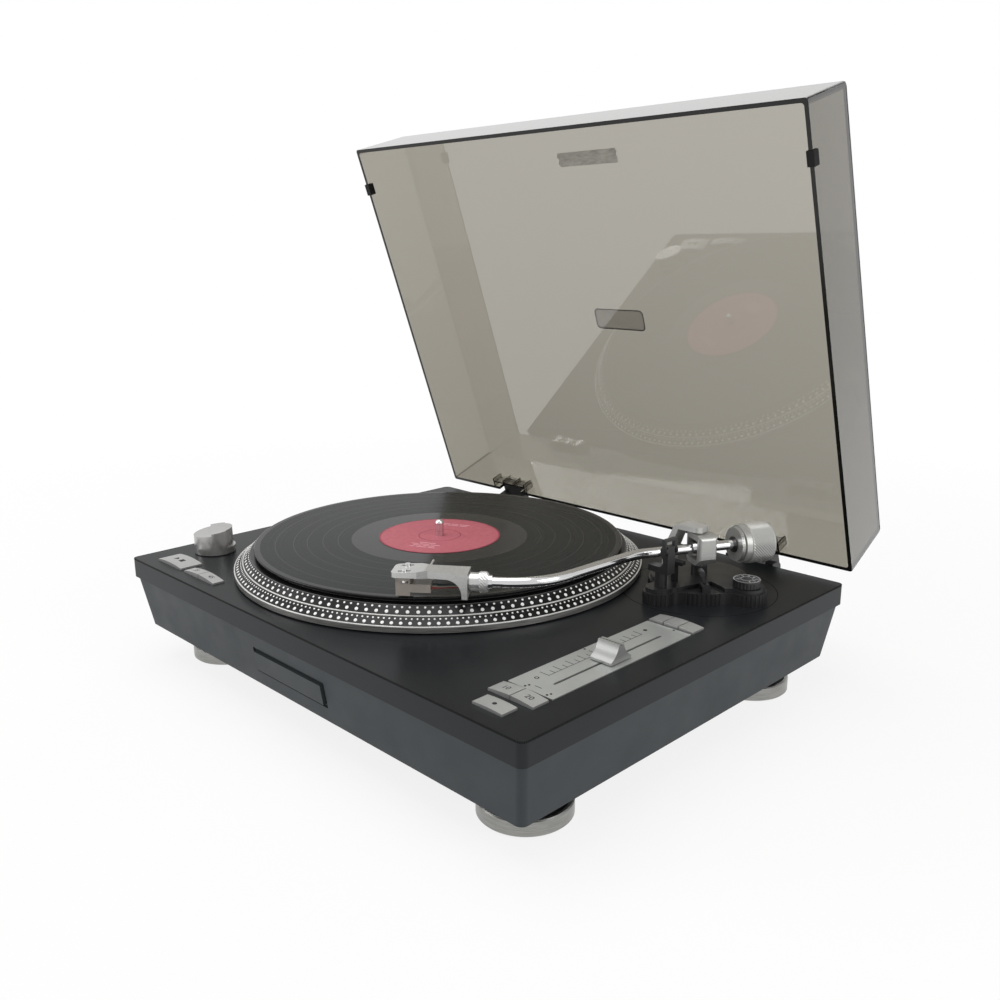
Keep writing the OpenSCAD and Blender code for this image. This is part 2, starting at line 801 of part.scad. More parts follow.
module arm_base()
    color(black) difference() {
        union() {
            at_pivot() linear_extrude(skirt_h) difference() {
                base_outline();
                flutes();
            }
            at_pivot() linear_extrude(base_top) difference() {
                offset(delta = -platform_in) base_outline();
                polygon(cue_well);
            }
            at_cue() for (s = [-1, 1]) translate([0, s * (cue_barrel_l / 2 + clear + ear_t / 2), 0]) {
                along_y(cue_barrel_r, -ear_t / 2, ear_t / 2);
                translate([-cue_barrel_r, -ear_t / 2, skirt_h - cue_z - 1])
                    cube([2 * cue_barrel_r, ear_t, cue_z - skirt_h + 1]);
            }
            at_cue() along_y(cue_pin_r, -cue_barrel_l / 2 - clear - ear_t, cue_barrel_l / 2 + clear + ear_t);
        }
        at_pivot() translate([skate_at[0], skate_at[1], 2])
            cylinder(r = skate_shaft_r + running, h = base_top);
        at_pivot() heading(lifter_heading) translate([lifter_run, 0, 1.5])
            cylinder(r = lifter_post_r + running, h = base_top);
    }

module pivot_post()
    color(chrome) at_pivot() {
        translate([0, 0, base_top])
            cylinder(r = pivot_post_r, h = arm_z - ring_h / 2 - post_top_gap - base_top);
        translate([0, 0, base_top])
            cylinder(r = bearing_pin_r, h = arm_z - ring_h / 2 + bearing_pin_in - base_top);
    }

module arm_yoke() {
    bar_low = arm_z + ring_h / 2 + yoke_gap;
    bar_top = bar_low + yoke_t;
    knee_z = base_top + yoke_knee;
    color(silver) at_pivot() {
        intersection() {
            across(yoke_w) polygon([[yoke_right, bar_top], [1 - yoke_bend, bar_top],
                                    [-yoke_bend - 2.6, bar_top - 1.8],
                                    [-yoke_foot, knee_z], [-yoke_foot, base_top],
                                    [yoke_leg - yoke_foot, base_top],
                                    [yoke_leg - yoke_foot, knee_z - 1.6], [1.2 - yoke_bend, bar_low],
                                    [yoke_right, bar_low]]);
            slab(-yoke_foot - yoke_round, -yoke_w / 2, yoke_foot + yoke_round + yoke_right, yoke_w,
                 yoke_round, 0, bar_top + over);
        }
        translate([0, 0, bar_low - yoke_gap - bearing_pin_in])
            cylinder(r = bearing_pin_r, h = yoke_gap + bearing_pin_in + 1);
    }
}

module gimbal_ring()
    color(silver) at_arm() difference() {
        intersection() {
            rotate([90, 0, 90]) translate([0, 0, -ring_back]) linear_extrude(ring_front + ring_back)
                difference() {
                translate([-ring_w / 2, -ring_h / 2]) rounded(ring_w, ring_h, ring_round);
                translate([-ring_open / 2, -ring_open / 2]) rounded(ring_open, ring_open, ring_round / 2);
                for (s = [-1, 1]) translate([s * ring_w / 2, -ring_h / 2]) rotate([0, 0, 45])
                    square(ring_chamfer * sqrt(2), center = true);
            }
            slab(-ring_back, -ring_w / 2, ring_front + ring_back, ring_w, ring_edge, -ring_h, ring_h);
        }
        for (s = [-1, 1]) translate([-ring_back - over, s * ring_w / 2 - ring_groove, ring_groove_z])
            cube([ring_front + ring_back + 2 * over, 2 * ring_groove, ring_groove]);
        for (s = [-1, 1]) translate([0, 0, s * ring_h / 2])
            cylinder(r = bearing_pin_r + running, h = 2 * (bearing_pin_in + 0.2), center = true);
        along_y(pivot_pin_r + running, -ring_open / 2 - pivot_pin_in - 0.2,
                ring_open / 2 + pivot_pin_in + 0.2);
    }

module pivot_block()
    color(chrome) at_arm() {
        translate([-block_l / 2, -block_w / 2, -block_h / 2]) cube([block_l, block_w, block_h]);
        along_y(pivot_pin_r, -ring_open / 2 - pivot_pin_in, ring_open / 2 + pivot_pin_in);
        along_x(tube_r, -shaft_len, -block_l / 2 + 1);
    }

module bend(radius, angle)
    translate([0, sign(angle) * radius, 0]) rotate([0, 0, angle > 0 ? -90 : 90 + angle])
        rotate_extrude(angle = abs(angle)) translate([radius, 0]) circle(tube_r);

module arm_tube() {
    tube_end = head_run - shell_rear - plug_len;
    color(chrome) {
        at_arm() along_x(tube_r, block_l / 2, first_run);
        at_arm() translate([first_run, 0, 0]) bend(first_bend_r, first_bend);
        at_arm() after_bend(first_run, first_bend_r, first_bend) {
            along_x(tube_r, 0, middle_run);
            translate([middle_run, 0, 0]) bend(second_bend_r, -second_bend);
        }
        at_head() translate([-head_run, 0, 0]) {
            along_x(tube_r, 0, tube_end);
            along_x(plug_r, tube_end - socket_len, tube_end);
            along_x(core_tube_r, -over, over);
        }
        at_arm() along_x(core_tube_r, first_run - over, first_run + over);
        at_arm() after_bend(first_run, first_bend_r, first_bend) {
            along_x(core_tube_r, -over, over);
            along_x(core_tube_r, middle_run - over, middle_run + over);
        }
    }
}

module lock_collar()
    color(chrome) at_head() translate([-shell_rear - 1, 0, 0]) difference() {
        union() {
            along_x(collar_r, -collar_len, 0);
            along_x(knurl_r, -collar_len + 0.8, -collar_len + 0.8 + knurl_len);
        }
        along_x(plug_r + running, -collar_len - over, over);
    }

module headshell()
    color(silver) at_head() {
        difference() {
            intersection() {
                across(2 * shell_w) difference() {
                    polygon([[shell_front, shell_nose_top], [shell_front, shell_low],
                             [-shell_bend + 7, shell_low],
                             [-shell_bend - 1, shell_neck_low],
                             [shell_leg + shell_arch_r - shell_rear, shell_neck_low],
                             [shell_leg - shell_rear, shell_neck_low - shell_arch_r],
                             [shell_leg - shell_rear, shell_leg_low], [-shell_rear, shell_leg_low],
                             [-shell_rear, shell_rear_top], [-shell_bend, shell_top]]);
                    translate([shell_leg + shell_arch_r - shell_rear, shell_neck_low - shell_arch_r])
                        circle(shell_arch_r);
                }
                translate([0, 0, -20]) linear_extrude(40) union() {
                    polygon([[shell_front - 4, shell_w / 2], [-shell_bend + 5, shell_w / 2],
                             [-shell_bend - 2, shell_neck_w / 2], [-shell_rear - over, shell_rear_w / 2],
                             [-shell_rear - over, -shell_rear_w / 2], [-shell_bend - 2, -shell_neck_w / 2],
                             [-shell_bend + 5, -shell_w / 2], [shell_front - 4, -shell_w / 2]]);
                    translate([shell_front - 5, -shell_w / 2 + 4]) square([5 + over, shell_w - 8]);
                    for (s = [-1, 1]) translate([shell_front - 4, s * (shell_w / 2 - 4)]) circle(4);
                }
            }
            for (s = [-1, 1])
                translate([cart_screw_x - shell_slot_l / 2, s * shell_slot_y - shell_slot_w / 2, -over])
                linear_extrude(shell_top + 2 * over)
                    rounded(shell_slot_l, shell_slot_w, shell_slot_w / 2 - 0.01);
        }
        along_x(plug_r, -shell_rear - plug_len, -shell_rear);
        translate([-shell_bend - 1, 0, shell_top - 2])
            along_y(lift_r, -shell_neck_w / 2 - lift_len, -shell_neck_w / 2 + 2);
    }

module cartridge() {
    seat = shell_low;
    color("#a29a92") at_head() {
        difference() {
            translate([cart_split, -cart_w / 2, cart_low])
                cube([cart_front - cart_split, cart_w, seat - cart_low]);
            for (s = [-1, 1]) translate([cart_screw_x, s * shell_slot_y, seat - cart_flange_t - 2.5])
                cylinder(r = 2.4, h = cart_flange_t + 3);
        }
        translate([cart_back, -cart_w / 2, cart_body_low])
            cube([cart_split - cart_back + 1, cart_w, cart_body_top - cart_body_low]);
        difference() {
            translate([cart_screw_x - cart_flange_l / 2, -cart_flange_w / 2, seat - cart_flange_t])
                cube([cart_flange_l, cart_flange_w, cart_flange_t]);
            for (s = [-1, 1]) translate([cart_screw_x, s * shell_slot_y, seat - cart_flange_t - over])
                cylinder(r = cart_screw_r + running, h = cart_flange_t + 2 * over);
        }
    }
}

module stylus()
    color("#3a3530") at_head() {
        translate([-3, -3, cart_low - holder_h]) cube([6, 6, holder_h]);
        translate([0, 0, tip_low]) cylinder(r1 = 0.15, r2 = 0.6, h = cart_low - holder_h - tip_low);
    }

module cartridge_screws() {
    seat = shell_low;
    slope = (shell_top - shell_nose_top) / (shell_front + shell_bend);
    screw_seat = shell_nose_top + slope * (shell_front - cart_screw_x + 1.9);
    color(chrome) at_head() for (s = [-1, 1]) translate([cart_screw_x, s * shell_slot_y, 0]) {
        translate([0, 0, seat - cart_flange_t - 1])
            cylinder(r = cart_screw_r - 0.25, h = screw_seat - seat + cart_flange_t + 1);
        translate([0, 0, seat - cart_flange_t - 1.5]) cylinder(r = 2, h = 1.5);
        translate([0, 0, screw_seat]) cylinder(r = 1.9, h = 1.2);
    }
}

module lead_wires() {
    rise = wire_end_z - (cart_body_low + cart_body_top) / 2;
    arch_z = wire_end_z - shell_neck_low + shell_arch_r;
    arch_x = shell_leg + shell_arch_r - shell_rear - sqrt(shell_arch_r * shell_arch_r - arch_z * arch_z);
    run = cart_back - arch_x - 0.1;
    color("#8d4b50") at_head() for (i = [-1.5 : 1.5])
        translate([cart_back, i * 2.4, (cart_body_low + cart_body_top) / 2]) {
            along_x(wire_pin_r, -wire_pin_l, 0);
            translate([-wire_pin_l, 0, 0]) rotate([0, atan2(rise, run - wire_pin_l) - 90, 0])
                cylinder(r = wire_r, h = run - wire_pin_l);
        }
}

module on_shaft(from, to, r, bore)
    at_arm() difference() {
        along_x(r, from, to);
        along_x(bore, from - over, to + over);
    }

module counterweight_bush()
    color("#5d5d5e") on_shaft(-weight_back - dial_t - weight_len - bush_back, -weight_back + bush_back,
          bush_r,
                              tube_r + running);

module counterweight() {
    front = -weight_back - dial_t - 0.4;
    color(silver) {
        at_arm() difference() {
            union() {
                along_x(weight_r - 0.5, front - ring_len, front);
                along_x(weight_r, front - weight_len + 0.4, front - ring_len + 0.1);
            }
            along_x(bush_r + running, front - weight_len - over, front + over);
        }
    }
}

module force_dial() color("#6b6b6c") on_shaft(-weight_back - dial_t, -weight_back, dial_r, bush_r + running);

module anti_skate_knob()
    color(black) at_pivot() translate([skate_at[0], skate_at[1], 0]) {
        translate([0, 0, base_top + clear]) difference() {
            cylinder(r = skate_r, h = skate_h);
            for (a = [0 : 15 : 345]) rotate([0, 0, a]) translate([skate_r + 0.5, 0, -over])
                cylinder(r = 1, h = skate_h - 1.5 + over);
        }
        translate([0, 0, 3]) cylinder(r = skate_shaft_r, h = base_top);
    }

module cue_lever()
    color(black) at_cue() difference() {
        union() {
            along_y(cue_barrel_r, -cue_barrel_l / 2, cue_barrel_l / 2);
            rotate([0, cue_lean, 0]) translate([-1.4, -cue_barrel_l / 2 + 1, 0])
                cube([2.8, cue_barrel_l - 2, cue_len]);
            rotate([0, cue_lean, 0]) translate([0, 0, cue_len])
                along_y(2.2, -cue_barrel_l / 2, cue_barrel_l / 2);
        }
        along_y(cue_pin_r + running, -cue_barrel_l, cue_barrel_l);
    }

module cue_lifter() {
    top = arm_z - tube_r - lifter_gap;
    color(black) at_pivot() {
        translate([0, 0, top - lifter_t]) rotate([0, 0, -90 - 60]) rotate_extrude(angle = 68)
            translate([lifter_run - lifter_w / 2, 0]) square([lifter_w, lifter_t]);
        heading(lifter_heading) translate([lifter_run, 0, lifter_low])
            cylinder(r = lifter_post_r, h = top - 1 - lifter_low);
    }
}

module arm_rest() {
    gap = tube_r + rest_gap;
    color(black) at_rest() difference() {
        union() {
            translate([0, 0, base_top])
                cylinder(r = rest_post_r, h = arm_z - gap - rest_wall - base_top + 1);
            translate([0, 0, arm_z]) rotate([0, 0, 90]) across(rest_deep) difference() {
                polygon([[-9, -gap - rest_wall], [gap + rest_wall, -gap - rest_wall],
                         [gap + rest_wall, gap + 7],
                         [gap, gap + 7], [gap - 3, gap + 1], [-1, gap], [-1, -gap], [-9, -gap + 0.2]]);
                circle(gap);
            }
        }
        translate([0, gap + rest_wall / 2, arm_z + gap + 3.8])
            along_x(clip_pin_r + running, -rest_deep, rest_deep);
    }
}

module arm_clip() {
    gap = tube_r + rest_gap;
    color(black) at_rest() translate([0, gap + rest_wall / 2, arm_z + gap + 3.8]) {
        along_x(clip_pin_r, -rest_deep / 2 - 2.2, rest_deep / 2 + 2.2);
        for (s = [-1, 1]) translate([s * (rest_deep / 2 + 1.3), 0, 0]) {
            along_x(clip_r, -0.9, 0.9);
            translate([-0.9, -1.6, 0]) cube([1.8, 3.2, 8.5]);
        }
        translate([-rest_deep / 2 - 2.2, -1.6, 7]) cube([rest_deep + 4.4, 3.2, 1.8]);
    }
}

// Controls
module strobe_base()
    color(black) on_deck() translate([power_x, power_y, 0])
        tube_ring(power_r - 0.4, power_shaft_r + running, 0, strobe_h);

module power_cut(drop, reach)
    translate([0, 0, power_h - drop]) rotate([0, -power_slant, 0])
        translate([-2 * power_r, -2 * power_r, 0]) cube([2 * power_r + reach, 4 * power_r, 2 * power_h]);

module power_knob() {
    low = strobe_h + clear;
    color(silver) on_deck() translate([power_x, power_y, 0]) {
        translate([0, 0, low]) cylinder(r = power_r, h = power_skirt_h);
        rotate([0, 0, power_heading]) difference() {
            translate([0, 0, low]) union() {
                cylinder(r = power_r - power_in, h = power_h + power_r);
                intersection() {
                    cylinder(r = power_r, h = power_h + power_r);
                    translate([-2 * power_r, -power_r, 0])
                        cube([2 * power_r + power_face, 2 * power_r, power_h + power_r]);
                }
            }
            power_cut(0, 2 * power_r);
            power_cut(power_step, -power_ridge);
        }
        translate([0, 0, -deck_t - 4]) cylinder(r = power_shaft_r, h = deck_t + 4 + low + 1);
    }
}

module start_key() color(silver) key(start_x, start_y, start_w, start_d, start_x, start_w);

module speed_key(x) color(silver) key(x, start_y, speed_w, speed_d, speed_x, 2 * speed_w + key_gap);

module speed_key_33() speed_key(speed_x);

module speed_key_45() speed_key(speed_x + speed_w + key_gap);

module quartz_key() color(silver) key(quartz_x, quartz_y, quartz_w, quartz_d, quartz_x, quartz_w);

module range_key(x) color(silver) key(x, range_y, range_w, range_d, pitch_x, pitch_w);

module range_key_left() range_key(pitch_x);

module range_key_right() range_key(pitch_x + range_w + key_gap);

module rear_key(i)
    color(silver)
        key(pitch_x + i * (rear_key_w + key_gap), rear_key_y, rear_key_w, rear_key_d, pitch_x, pitch_w);

module rear_key_left() rear_key(0);

module rear_key_middle() rear_key(1);

module rear_key_right() rear_key(2);

module pitch_panel()
    color("#a9aaa8") on_deck() difference() {
        slab(pitch_x, pitch_y, pitch_w, pitch_d, 0.6, -panel_in, panel_up);
        slab(slot_x - slot_w / 2, slot_y - slot_len / 2, slot_w, slot_len, slot_w / 2 - 0.01,
             -panel_in - over, panel_up + over);
    }

module fader_track()
    color("#3c3c3d") on_deck() difference() {
        translate([slot_x - track_w / 2, slot_y - slot_len / 2 - 3, track_z - track_h])
            cube([track_w, slot_len + 6, track_h]);
        translate([slot_x - slot_w / 2, slot_y - slot_len / 2, track_z - track_h + 2])
            cube([slot_w, slot_len, track_h]);
    }

module pitch_fader()
    color(silver) on_deck() translate([slot_x, slot_y, panel_up + fader_gap]) {
        rotate([0, 0, 90]) across(fader_w) difference() {
            polygon([[-fader_l / 2, 0], [fader_l / 2, 0], [fader_l / 2, 1.6], [fader_ridge / 2, fader_h],
                     [0.5, fader_h], [0.5, fader_h - 1.2], [-0.5, fader_h - 1.2], [-0.5, fader_h],
                     [-fader_ridge / 2, fader_h], [-fader_l / 2, 1.6]]);
            for (s = [-1, 1]) translate([s * (fader_l / 2 + 6.2), fader_h + 3]) circle(14.2, $fn = 128);
        }
        translate([-stem_w / 2, -stem_l / 2, track_z - track_h / 2])
            cube([stem_w, stem_l, track_h / 2 - track_z + 1]);
    }

// Dust cover
module hinge_pocket(x) {
    inner = lid_rear - lid_t - 0.5;
    front = leaf_y - 2 * clear - pocket_t;
    top = lid_gap + pocket_h;
    translate([x, front, lid_gap]) cube([pocket_w, pocket_t, pocket_h]);
    for (i = [0 : 3]) translate([x + i * (pocket_w - fin_t) / 3 + fin_t / 2, 0, 0])
        rotate([0, 0, 90]) across(fin_t)
        polygon([[front + 0.2, lid_gap], [front + 0.2, top], [front - fin_deep, top],
                 [front - fin_deep, lid_gap]]);
    for (dx = [0, pocket_w - fin_t]) translate([x + dx, front, lid_gap])
        cube([fin_t, inner - front + 0.5, pocket_h]);
}

module cover_block(inset, low, high) {
    lean = lid_taper / lid_h;
    foot = inset + lean * (low - lid_gap);
    head = inset + lean * (high - lid_gap);
    hull() {
        slab(lid_x + foot, lid_y + foot, lid_w - 2 * foot, lid_d - 2 * foot, lid_round, low, low + 0.05,
             $fn = hull_fn);
        slab(lid_x + head, lid_y + head, lid_w - 2 * head, lid_d - 2 * head, lid_round, high - 0.05, high,
             $fn = hull_fn);
    }
}

module cover_shell()
    difference() {
        cover_block(0, lid_gap, lid_gap + lid_h);
        cover_block(lid_t, lid_gap - over, lid_gap + lid_h - lid_t);
    }

module lid_cover()
    color(smoke, 0.45) opened() {
        difference() {
            cover_shell();
            for (x = hinges)
                translate([x + (pocket_w - leaf_w) / 2 - clear, lid_rear - lid_t - 3 * over, lid_gap - over])
                cube([leaf_w + 2 * clear, lid_t + 4 * over, notch_h + over]);
            slab(deck_w / 2 - badge_w / 2, lid_rear - badge_at - badge_d / 2, badge_w, badge_d, badge_r,
                 lid_gap + lid_h - badge_deep, lid_gap + lid_h + over);
        }
        for (x = hinges) hinge_pocket(x);
    }

module lid_bumpers()
    color(black) opened() difference() {
        for (x = [lid_x, lid_x + lid_w - lid_t])
            translate([x - bumper_t, lid_y + bumper_at - bumper_l / 2, lid_gap - bumper_t])
                cube([lid_t + 2 * bumper_t, bumper_l, bumper_h]);
        cover_shell();
    }

module hinge_leaves()
    color(black) opened() for (x = hinges) translate([x + (pocket_w - leaf_w) / 2, 0, 0]) difference() {
        union() {
            translate([0, hinge_y, -hinge_drop]) along_x(barrel_r, 0, leaf_w);
            translate([0, hinge_y - barrel_r, -hinge_drop])
                cube([leaf_w, 2 * barrel_r, hinge_drop + lid_gap + notch_h - 0.6]);
            translate([0, leaf_y, leaf_z]) cube([leaf_w, hinge_y - leaf_y, leaf_t]);
            translate([0, leaf_y, leaf_z]) cube([leaf_w, leaf_t, leaf_up]);
        }
        translate([0, hinge_y, -hinge_drop]) along_x(pin_r + running, -over, leaf_w + over);
    }

module hinge_bases()
    color(black) on_deck() for (x = hinges) translate([x + pocket_w / 2, 0, 0]) {
        arm_x = leaf_w / 2 + clear;
        translate([-arm_x - knuckle_w, deck_d, -band_h + 1])
            cube([2 * (arm_x + knuckle_w), 2.4, band_h - 2]);
        for (s = [-1, 1]) translate([s * (arm_x + knuckle_w / 2) - knuckle_w / 2, 0, -hinge_drop]) {
            translate([0, deck_d + 2, -barrel_r]) cube([knuckle_w, hinge_back - 2, 2 * barrel_r]);
            translate([0, hinge_y, 0]) along_x(barrel_r, 0, knuckle_w);
        }
        translate([0, hinge_y, -hinge_drop]) along_x(pin_r, -arm_x - knuckle_w, arm_x + knuckle_w);
    }

top_deck();
lower_body();
bottom_cover();
front_plate();
case_screws();
foot_front_left();
foot_front_right();
foot_rear_left();
foot_rear_right();
platter();
spindle();
rotor_magnet();
slip_mat();
record();
record_label();
platter_bearing();
motor_stator();
main_board();
transformer();
switch_boards();
rear_sockets();
arm_base_disc();
arm_base();
pivot_post();
arm_yoke();
gimbal_ring();
pivot_block();
arm_tube();
lock_collar();
headshell();
cartridge();
stylus();
cartridge_screws();
lead_wires();
counterweight_bush();
counterweight();
force_dial();
anti_skate_knob();
cue_lever();
cue_lifter();
arm_rest();
arm_clip();
strobe_base();
power_knob();
start_key();
speed_key_33();
speed_key_45();
quartz_key();
range_key_left();
range_key_right();
rear_key_left();
rear_key_middle();
rear_key_right();
pitch_panel();
fader_track();
pitch_fader();
lid_cover();
lid_bumpers();
hinge_leaves();
hinge_bases();
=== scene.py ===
"""Looks of the jointed turntable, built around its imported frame.

Lengths are metres, and a name ending in _mm is in millimetres.
"""
import json
import math

import bmesh
import bpy
from mathutils import Matrix, Vector


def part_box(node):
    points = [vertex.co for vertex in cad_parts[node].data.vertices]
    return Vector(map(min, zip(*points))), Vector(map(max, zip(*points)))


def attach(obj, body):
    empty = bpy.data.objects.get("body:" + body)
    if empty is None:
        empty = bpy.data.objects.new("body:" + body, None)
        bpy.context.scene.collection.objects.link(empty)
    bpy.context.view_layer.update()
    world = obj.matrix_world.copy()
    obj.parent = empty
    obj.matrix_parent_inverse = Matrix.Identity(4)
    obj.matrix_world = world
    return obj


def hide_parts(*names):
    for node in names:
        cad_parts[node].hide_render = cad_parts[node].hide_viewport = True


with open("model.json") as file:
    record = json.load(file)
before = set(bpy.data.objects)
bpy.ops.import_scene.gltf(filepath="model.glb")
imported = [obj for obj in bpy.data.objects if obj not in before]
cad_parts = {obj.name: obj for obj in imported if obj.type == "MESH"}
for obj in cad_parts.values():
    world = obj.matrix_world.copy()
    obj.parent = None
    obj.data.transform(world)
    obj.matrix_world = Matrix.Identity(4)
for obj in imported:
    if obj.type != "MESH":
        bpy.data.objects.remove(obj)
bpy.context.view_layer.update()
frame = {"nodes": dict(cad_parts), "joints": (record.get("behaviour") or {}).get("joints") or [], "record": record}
nodes = frame["nodes"]
joints = {joint["name"]: joint for joint in frame["joints"]}

MM = 0.001
X = Vector((1, 0, 0))
Y = Vector((0, 1, 0))
UP = Vector((0, 0, 1))

# Places read from the frame
deck_low, deck_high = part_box("top_deck")
deck_top = deck_high.z
deck_corner = Vector((deck_low.x, deck_low.y, deck_top))
record_low, record_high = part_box("record")
spindle = Vector(joints["platter_spin"]["pos_m"])
pivot = Vector(joints["arm_swing"]["pos_m"])
shaft_back = Vector(joints["weight_slide"]["axis"]).normalized()
head = Vector(joints["collar_turn"]["pos_m"])
head_forward = Vector(joints["collar_turn"]["axis"]).normalized()
hinge = Vector(joints["cover_hinge"]["pos_m"])
cover_open = math.radians(-joints["cover_hinge"]["range_deg"][0])
panel_up = Vector((0, -math.cos(cover_open), math.sin(cover_open)))
panel_in = Vector((0, -math.sin(cover_open), -math.cos(cover_open)))
panel_out = -panel_in

# Sizes in millimetres that the pieces share with the part
BADGE_SIZE = (54.0, 19.0)
BADGE_R = 4.0
BADGE_DEEP = 0.8
DECK_CORNER_R = 5
SEAM_R = 58.35
COVER_TAPER = 3.2
COVER_LONG = 360.0
KEY_ARCH_R = 125.0
POST_CUP_TALL = 4.0
FOOT_RIM_WIDE = 2.7
FOOT_PAD_TALL = 1.4
SOCKET_PROUD = 7.6
WIRES_HALF = 6.0

# Sizes in millimetres of print and dark lines; a hair keeps two faces from meeting in one plane
EDGE_LINE = 0.9
EDGE_INSET = 0.8
SEAM_HALF = 0.35
INK_THICK = 0.03
PROUD = 0.03
HAIR = 0.02
LABEL_RING_R = 17.2
LABEL_RING_HALF = 0.5
LABEL_EDGE_R = 48.6

# How flat faces are picked: the least cosine to a direction, and the slack of a level in millimetres
FACING = 0.999
SLACK = 0.05

# Corners of the platter's rim: radius and height over the deck, in millimetres
RIM = ((153.3, 16.3), (159.1, 10.5), (166.3, 5.0))


def on_deck(x_mm, y_mm, z_mm=0.0):
    """A point of the deck: x from its left edge, y from its front edge, z above its top."""
    return deck_corner + Vector((x_mm, y_mm, z_mm)) * MM


def srgb(red, green, blue):
    """A colour as it shows on a screen, 0 to 255, as linear RGBA."""
    def linear(value):
        share = value / 255
        return share / 12.92 if share <= 0.04045 else ((share + 0.055) / 1.055) ** 2.4
    return (linear(red), linear(green), linear(blue), 1.0)


def toned(colour, factor):
    """The colour with its brightness scaled."""
    return tuple(min(1.0, value * factor) for value in colour[:3]) + (1.0,)


def placed(name, data):
    """A new object in the scene."""
    made = bpy.data.objects.new(name, data)
    bpy.context.scene.collection.objects.link(made)
    return made


def put(tree, source, target):
    """Links an output to an input, or sets the input to a plain value."""
    if isinstance(source, bpy.types.NodeSocket):
        tree.links.new(source, target)
    else:
        target.default_value = source


def calculated(tree, operation, first, second=0.0):
    """The output of a math node."""
    node = tree.nodes.new("ShaderNodeMath")
    node.operation = operation
    put(tree, first, node.inputs[0])
    put(tree, second, node.inputs[1])
    return node.outputs[0]


class Finish:
    """A procedural material: its Principled shader, and short ways to add the nodes that vary it."""

    def __init__(self, name, rough, metal=0.0, specular=0.5, coat=0.0):
        self.material = bpy.data.materials.new(name)
        self.material.use_nodes = True
        self.tree = self.material.node_tree
        self.shader = self.tree.nodes["Principled BSDF"]
        self.output = self.tree.nodes["Material Output"]
        self.level("Roughness", rough)
        self.level("Metallic", metal)
        self.level("Specular IOR Level", specular)
        self.level("Coat Weight", coat)
        self.place = self.add("ShaderNodeTexCoord").outputs["Object"]

    def add(self, kind, **settings):
        node = self.tree.nodes.new(kind)
        for key, value in settings.items():
            setattr(node, key, value)
        return node

    def put(self, source, target):
        put(self.tree, source, target)

    def level(self, name, value):
        """Sets one of the shader's inputs."""
        self.shader.inputs[name].default_value = value

    def math(self, *terms):
        return calculated(self.tree, *terms)

    def stretched(self, stretch, origin=(0, 0, 0)):
        """The place with its axes scaled, measured from an origin."""
        moved = self.add("ShaderNodeVectorMath", operation="SUBTRACT")
        self.put(self.place, moved.inputs[0])
        moved.inputs[1].default_value = origin
        scaled = self.add("ShaderNodeVectorMath", operation="MULTIPLY")
        self.put(moved.outputs[0], scaled.inputs[0])
        scaled.inputs[1].default_value = stretch
        return scaled.outputs[0]

    def noise(self, scale, stretch=None, detail=3.0, place=None):
        node = self.add("ShaderNodeTexNoise")
        self.put(place or (self.stretched(stretch) if stretch else self.place), node.inputs["Vector"])
        node.inputs["Scale"].default_value = scale
        node.inputs["Detail"].default_value = detail
        return node.outputs["Fac"]

    def radius(self, centre):
        """The distance from an upright axis."""
        node = self.add("ShaderNodeVectorMath", operation="LENGTH")
        self.put(self.stretched((1, 1, 0), centre), node.inputs[0])
        return node.outputs["Value"]

    def part(self, axis):
        """One coordinate of the place."""
        node = self.add("ShaderNodeSeparateXYZ")
        self.put(self.place, node.inputs[0])
        return node.outputs[axis]

    def along(self, origin, direction):
        """The distance from an origin along a direction."""
        moved = self.stretched((1, 1, 1), origin)
        node = self.add("ShaderNodeVectorMath", operation="DOT_PRODUCT")
        self.put(moved, node.inputs[0])
        node.inputs[1].default_value = direction
        return node.outputs["Value"]

    def ramp(self, factor, stops, sharp=False):
        node = self.add("ShaderNodeValToRGB")
        self.put(factor, node.inputs["Fac"])
        bar = node.color_ramp
        bar.interpolation = "CONSTANT" if sharp else "LINEAR"
        while len(bar.elements) < len(stops):
            bar.elements.new(1.0)
        for element, (position, colour) in zip(bar.elements, stops):
            element.position = position
            element.color = colour
        return node.outputs["Color"]

    def tones(self, factor, dark, light, low=0.3, high=0.7):
        """A drift between two screen colours."""
        return self.ramp(factor, [(low, srgb(*dark)), (high, srgb(*light))])

    def mix(self, factor, first, second, blend="MIX"):
        node = self.add("ShaderNodeMixRGB", blend_type=blend)
        self.put(factor, node.inputs["Fac"])
        self.put(first, node.inputs["Color1"])
        self.put(second, node.inputs["Color2"])
        return node.outputs["Color"]

    def between(self, factor, low, high, start=0.0, end=1.0):
        """The factor from start to end, mapped from low to high."""
        node = self.add("ShaderNodeMapRange")
        self.put(factor, node.inputs["Value"])
        node.inputs["From Min"].default_value = start
        node.inputs["From Max"].default_value = end
        node.inputs["To Min"].default_value = low
        node.inputs["To Max"].default_value = high
        return node.outputs["Result"]

    def colour(self, source):
        self.put(source, self.shader.inputs["Base Color"])

    def rough(self, source):
        self.put(source, self.shader.inputs["Roughness"])

    def metal(self, source):
        self.put(source, self.shader.inputs["Metallic"])

    def bump(self, height, depth_mm, strength=1.0, crisp=False):
        """Bump from a height; a crisp one keeps each face of the mesh flat."""
        node = self.add("ShaderNodeBump")
        if crisp:
            self.put(self.add("ShaderNodeNewGeometry").outputs["True Normal"], node.inputs["Normal"])
        node.inputs["Distance"].default_value = depth_mm * MM
        node.inputs["Strength"].default_value = strength
        self.put(height, node.inputs["Height"])
        self.put(node.outputs["Normal"], self.shader.inputs["Normal"])


